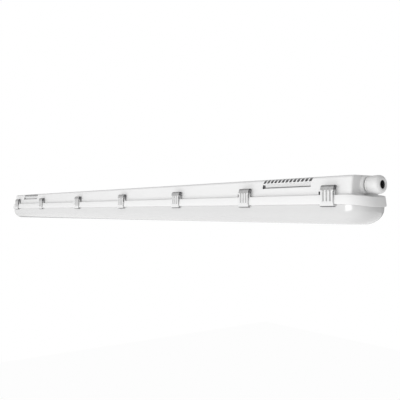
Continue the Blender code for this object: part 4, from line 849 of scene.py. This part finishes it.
# %% Blanking plug
DISC = 0.013
plug_low, plug_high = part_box("entry_plug")
front, plug_end = plug_low.x, plug_high.x
disc_back = front + 0.0034
bm = bmesh.new()
lathe(bm, (
    (front, 0.0, 0.0), (front, DISC, 0.0009), (disc_back, DISC, 0.0003), (disc_back, THREAD, 0.0),
    (plug_end, THREAD, 0.0005), (plug_end, SPIGOT_BORE, 0.0), (disc_back, SPIGOT_BORE, 0.0),
    (disc_back, 0.0, 0.0)))
bmesh.ops.remove_doubles(bm, verts=bm.verts, dist=WELD)
plug = piece("blank_plug", bm, gland_grey, ROUND_ANGLE)
cut = bmesh.new()
block(cut, (front - 0.002, -0.0105, -ENTRY_DEPTH - 0.001),
      (front + 0.0017, 0.0105, -ENTRY_DEPTH + 0.001), 0.0003)
combine(plug, piece("cut", cut, None), "DIFFERENCE", ROUND_ANGLE)
hand_over(plug, "entry_plug", "fixture")

# %% [markdown]
# Each remaining piece of the frame takes its finish by name.

# %% Finishes by name
def finish_of(name):
    starts = (
        ("clip_", sheet_steel), ("housing", body_grey), ("diffuser", opal_white), ("gasket", foam_grey),
        ("gear_tray", tray_white), ("led_board", board_white), ("led_driver", case_white),
        ("terminal_block", block_grey), ("terminal_lever", lever_orange), ("driver_screw", zinc),
        ("earth_screw", zinc), ("gland_ring", black_rubber_and_painted_shade), ("gland_seal", black_rubber_and_painted_shade),
        ("plug_ring", black_rubber_and_painted_shade), ("lead_live", wire_brown), ("lead_neutral", wire_blue),
        ("lead_earth", wire_green), ("lead_plus", wire_red), ("lead_minus", wire_black),
    )
    for start, look in starts:
        if name.startswith(start):
            return look
    return gland_grey


for name, node in frame["nodes"].items():
    node.data.materials.clear()
    node.data.materials.append(finish_of(name))
print(len(frame["nodes"]), "nodes dressed")

# %% [markdown]
# Studio light for a pale object: a broad soft lamp faces the front, a weaker one stands behind the fixture,
# and a faint one lights it from below. The end wall faces away from all three, which is why it reads darker
# than the sides. None of these shows in a reflection. The small window lamp does only that: it gives the
# bright spot on the end of the cover, and no light.

# %% Lamps
def soft_lamp(name, place, target, size, watts):
    """A rectangle of light of (width, height), turned from its place to the target."""
    data = bpy.data.lights.new(name, "AREA")
    data.shape = "RECTANGLE"
    data.size, data.size_y = size
    data.energy = watts
    lamp = bpy.data.objects.new(name, data)
    lamp.location = place
    lamp.rotation_mode = "QUATERNION"
    lamp.rotation_quaternion = (Vector(target) - Vector(place)).to_track_quat("-Z", "Y")
    lamp.visible_glossy = False
    lamp.visible_camera = False
    bpy.context.scene.collection.objects.link(lamp)
    return lamp


soft_lamp("front_lamp", (0.5, -2.6, 0.25), (0.3, 0.0, -0.04), (3.6, 1.4), 44.0)
soft_lamp("back_lamp", (-0.3, 2.6, 0.9), (0.0, 0.0, -0.04), (3.0, 1.4), 24.0)
soft_lamp("low_lamp", (0.6, -1.7, -1.7), (0.4, 0.0, -0.06), (3.4, 0.7), 8.0)
window = soft_lamp("window", (0.52, -1.79, -0.36), (0.72, -0.038, -0.05), (1.15, 0.34), 5.5)
window.visible_glossy, window.visible_diffuse = True, False
print("lamps", len(bpy.data.lights))

# %% [markdown]
# Satin steel shows what stands round it, so the glossy rays get a studio of their own: white towards the
# front left, greyer everywhere else. It makes the flat of a clip read white and its rolled head grey, with
# a shade in every flute. A dim even light fills the rest, and camera and transmission rays see plain white.

# %% World
FILL = 0.46
BRIGHT_SIDE = (-0.71, -0.69, -0.12)
STUDIO_STOPS = ((0.0, 0.34), (0.55, 0.28), (0.80, 0.42), (0.90, 0.78), (0.95, 1.0))


def any_ray(tree, kinds):
    """One where the ray is of a kind that is named, and zero otherwise."""
    rays = tree.nodes.new("ShaderNodeLightPath")
    found = rays.outputs[kinds[0]]
    for kind in kinds[1:]:
        most = tree.nodes.new("ShaderNodeMath")
        most.operation = "MAXIMUM"
        link(tree, found, most.inputs[0])
        link(tree, rays.outputs[kind], most.inputs[1])
        found = most.outputs["Value"]
    return found


def background(tree, strength):
    """A white background. Gives its node, whose Color input a pattern may drive."""
    made = tree.nodes.new("ShaderNodeBackground")
    made.inputs["Color"].default_value = (1.0, 1.0, 1.0, 1.0)
    made.inputs["Strength"].default_value = strength
    return made


def mix(tree, share, first, second):
    """A shader that goes from the first to the second one as the share goes from zero to one."""
    made = tree.nodes.new("ShaderNodeMixShader")
    link(tree, share, made.inputs["Fac"])
    link(tree, first, made.inputs[1])
    link(tree, second, made.inputs[2])
    return made.outputs["Shader"]


world = bpy.data.worlds.new("studio")
bpy.context.scene.world = world
world.use_nodes = True
sky = world.node_tree
sky.nodes.remove(sky.nodes["Background"])
fill, shown, plain = (background(sky, strength) for strength in (FILL, 1.0, 1.0))
aim = sky.nodes.new("ShaderNodeTexCoord")
facing = sky.nodes.new("ShaderNodeVectorMath")
facing.operation = "DOT_PRODUCT"
facing.inputs[1].default_value = BRIGHT_SIDE
link(sky, aim.outputs["Generated"], facing.inputs[0])
around = sky.nodes.new("ShaderNodeValToRGB")
while len(around.color_ramp.elements) < len(STUDIO_STOPS):
    around.color_ramp.elements.new(0.5)
for element, (position, grey) in zip(around.color_ramp.elements, STUDIO_STOPS):
    element.position = position
    element.color = (grey, grey, grey, 1.0)
span = sky.nodes.new("ShaderNodeMapRange")
span.inputs["From Min"].default_value = -1.0
link(sky, facing.outputs["Value"], span.inputs["Value"])
link(sky, span.outputs["Result"], around.inputs["Fac"])
link(sky, around.outputs["Color"], shown.inputs["Color"])
lit = mix(sky, any_ray(sky, ["Is Glossy Ray"]), fill.outputs["Background"], shown.outputs["Background"])
lit = mix(sky, any_ray(sky, ["Is Camera Ray", "Is Transmission Ray"]), lit, plain.outputs["Background"])
link(sky, lit, sky.nodes["World Output"].inputs["Surface"])
print(len(sky.nodes), "nodes in the world")

# %% [markdown]
# The floor lies far below, so that a view from under the fixture still sees the fixture. It is white paper
# that glows: nearly white for the camera and for reflections, and a little less for the light that it
# throws up, so that the underside of the cover doesn't clip.

# %% Floor
FLOOR = -2.7
FLOOR_HALF = 9.0
GLOWS = ((["Is Camera Ray", "Is Glossy Ray", "Is Transmission Ray"], 0.97), (["Is Diffuse Ray"], 0.88))
bm = bmesh.new()
bmesh.ops.create_grid(bm, x_segments=1, y_segments=1, size=FLOOR_HALF)
bmesh.ops.translate(bm, vec=(0.0, 0.0, FLOOR), verts=bm.verts)
floor_mesh = bpy.data.meshes.new("floor")
bm.to_mesh(floor_mesh)
bm.free()
floor = bpy.data.objects.new("floor", floor_mesh)
bpy.context.scene.collection.objects.link(floor)
paper = finish("paper", (0.86, 0.86, 0.86), 0.8, drift=0.01, cloud=1.0)
paper.cycles.emission_sampling = "NONE"
tree = paper.node_tree
glow = tree.nodes.new("ShaderNodeEmission")
share = tree.nodes.new("ShaderNodeMath")
share.operation = "MAXIMUM"
for number, (kinds, part) in enumerate(GLOWS):
    times = tree.nodes.new("ShaderNodeMath")
    times.operation = "MULTIPLY"
    times.inputs[1].default_value = part
    link(tree, any_ray(tree, kinds), times.inputs[0])
    link(tree, times.outputs["Value"], share.inputs[number])
matte = tree.nodes["Principled BSDF"].outputs["BSDF"]
over = mix(tree, share.outputs["Value"], matte, glow.outputs["Emission"])
link(tree, over, tree.nodes["Material Output"].inputs["Surface"])
floor_mesh.materials.append(paper)
bpy.context.scene.view_settings.view_transform = "Standard"
print("floor at z", FLOOR)
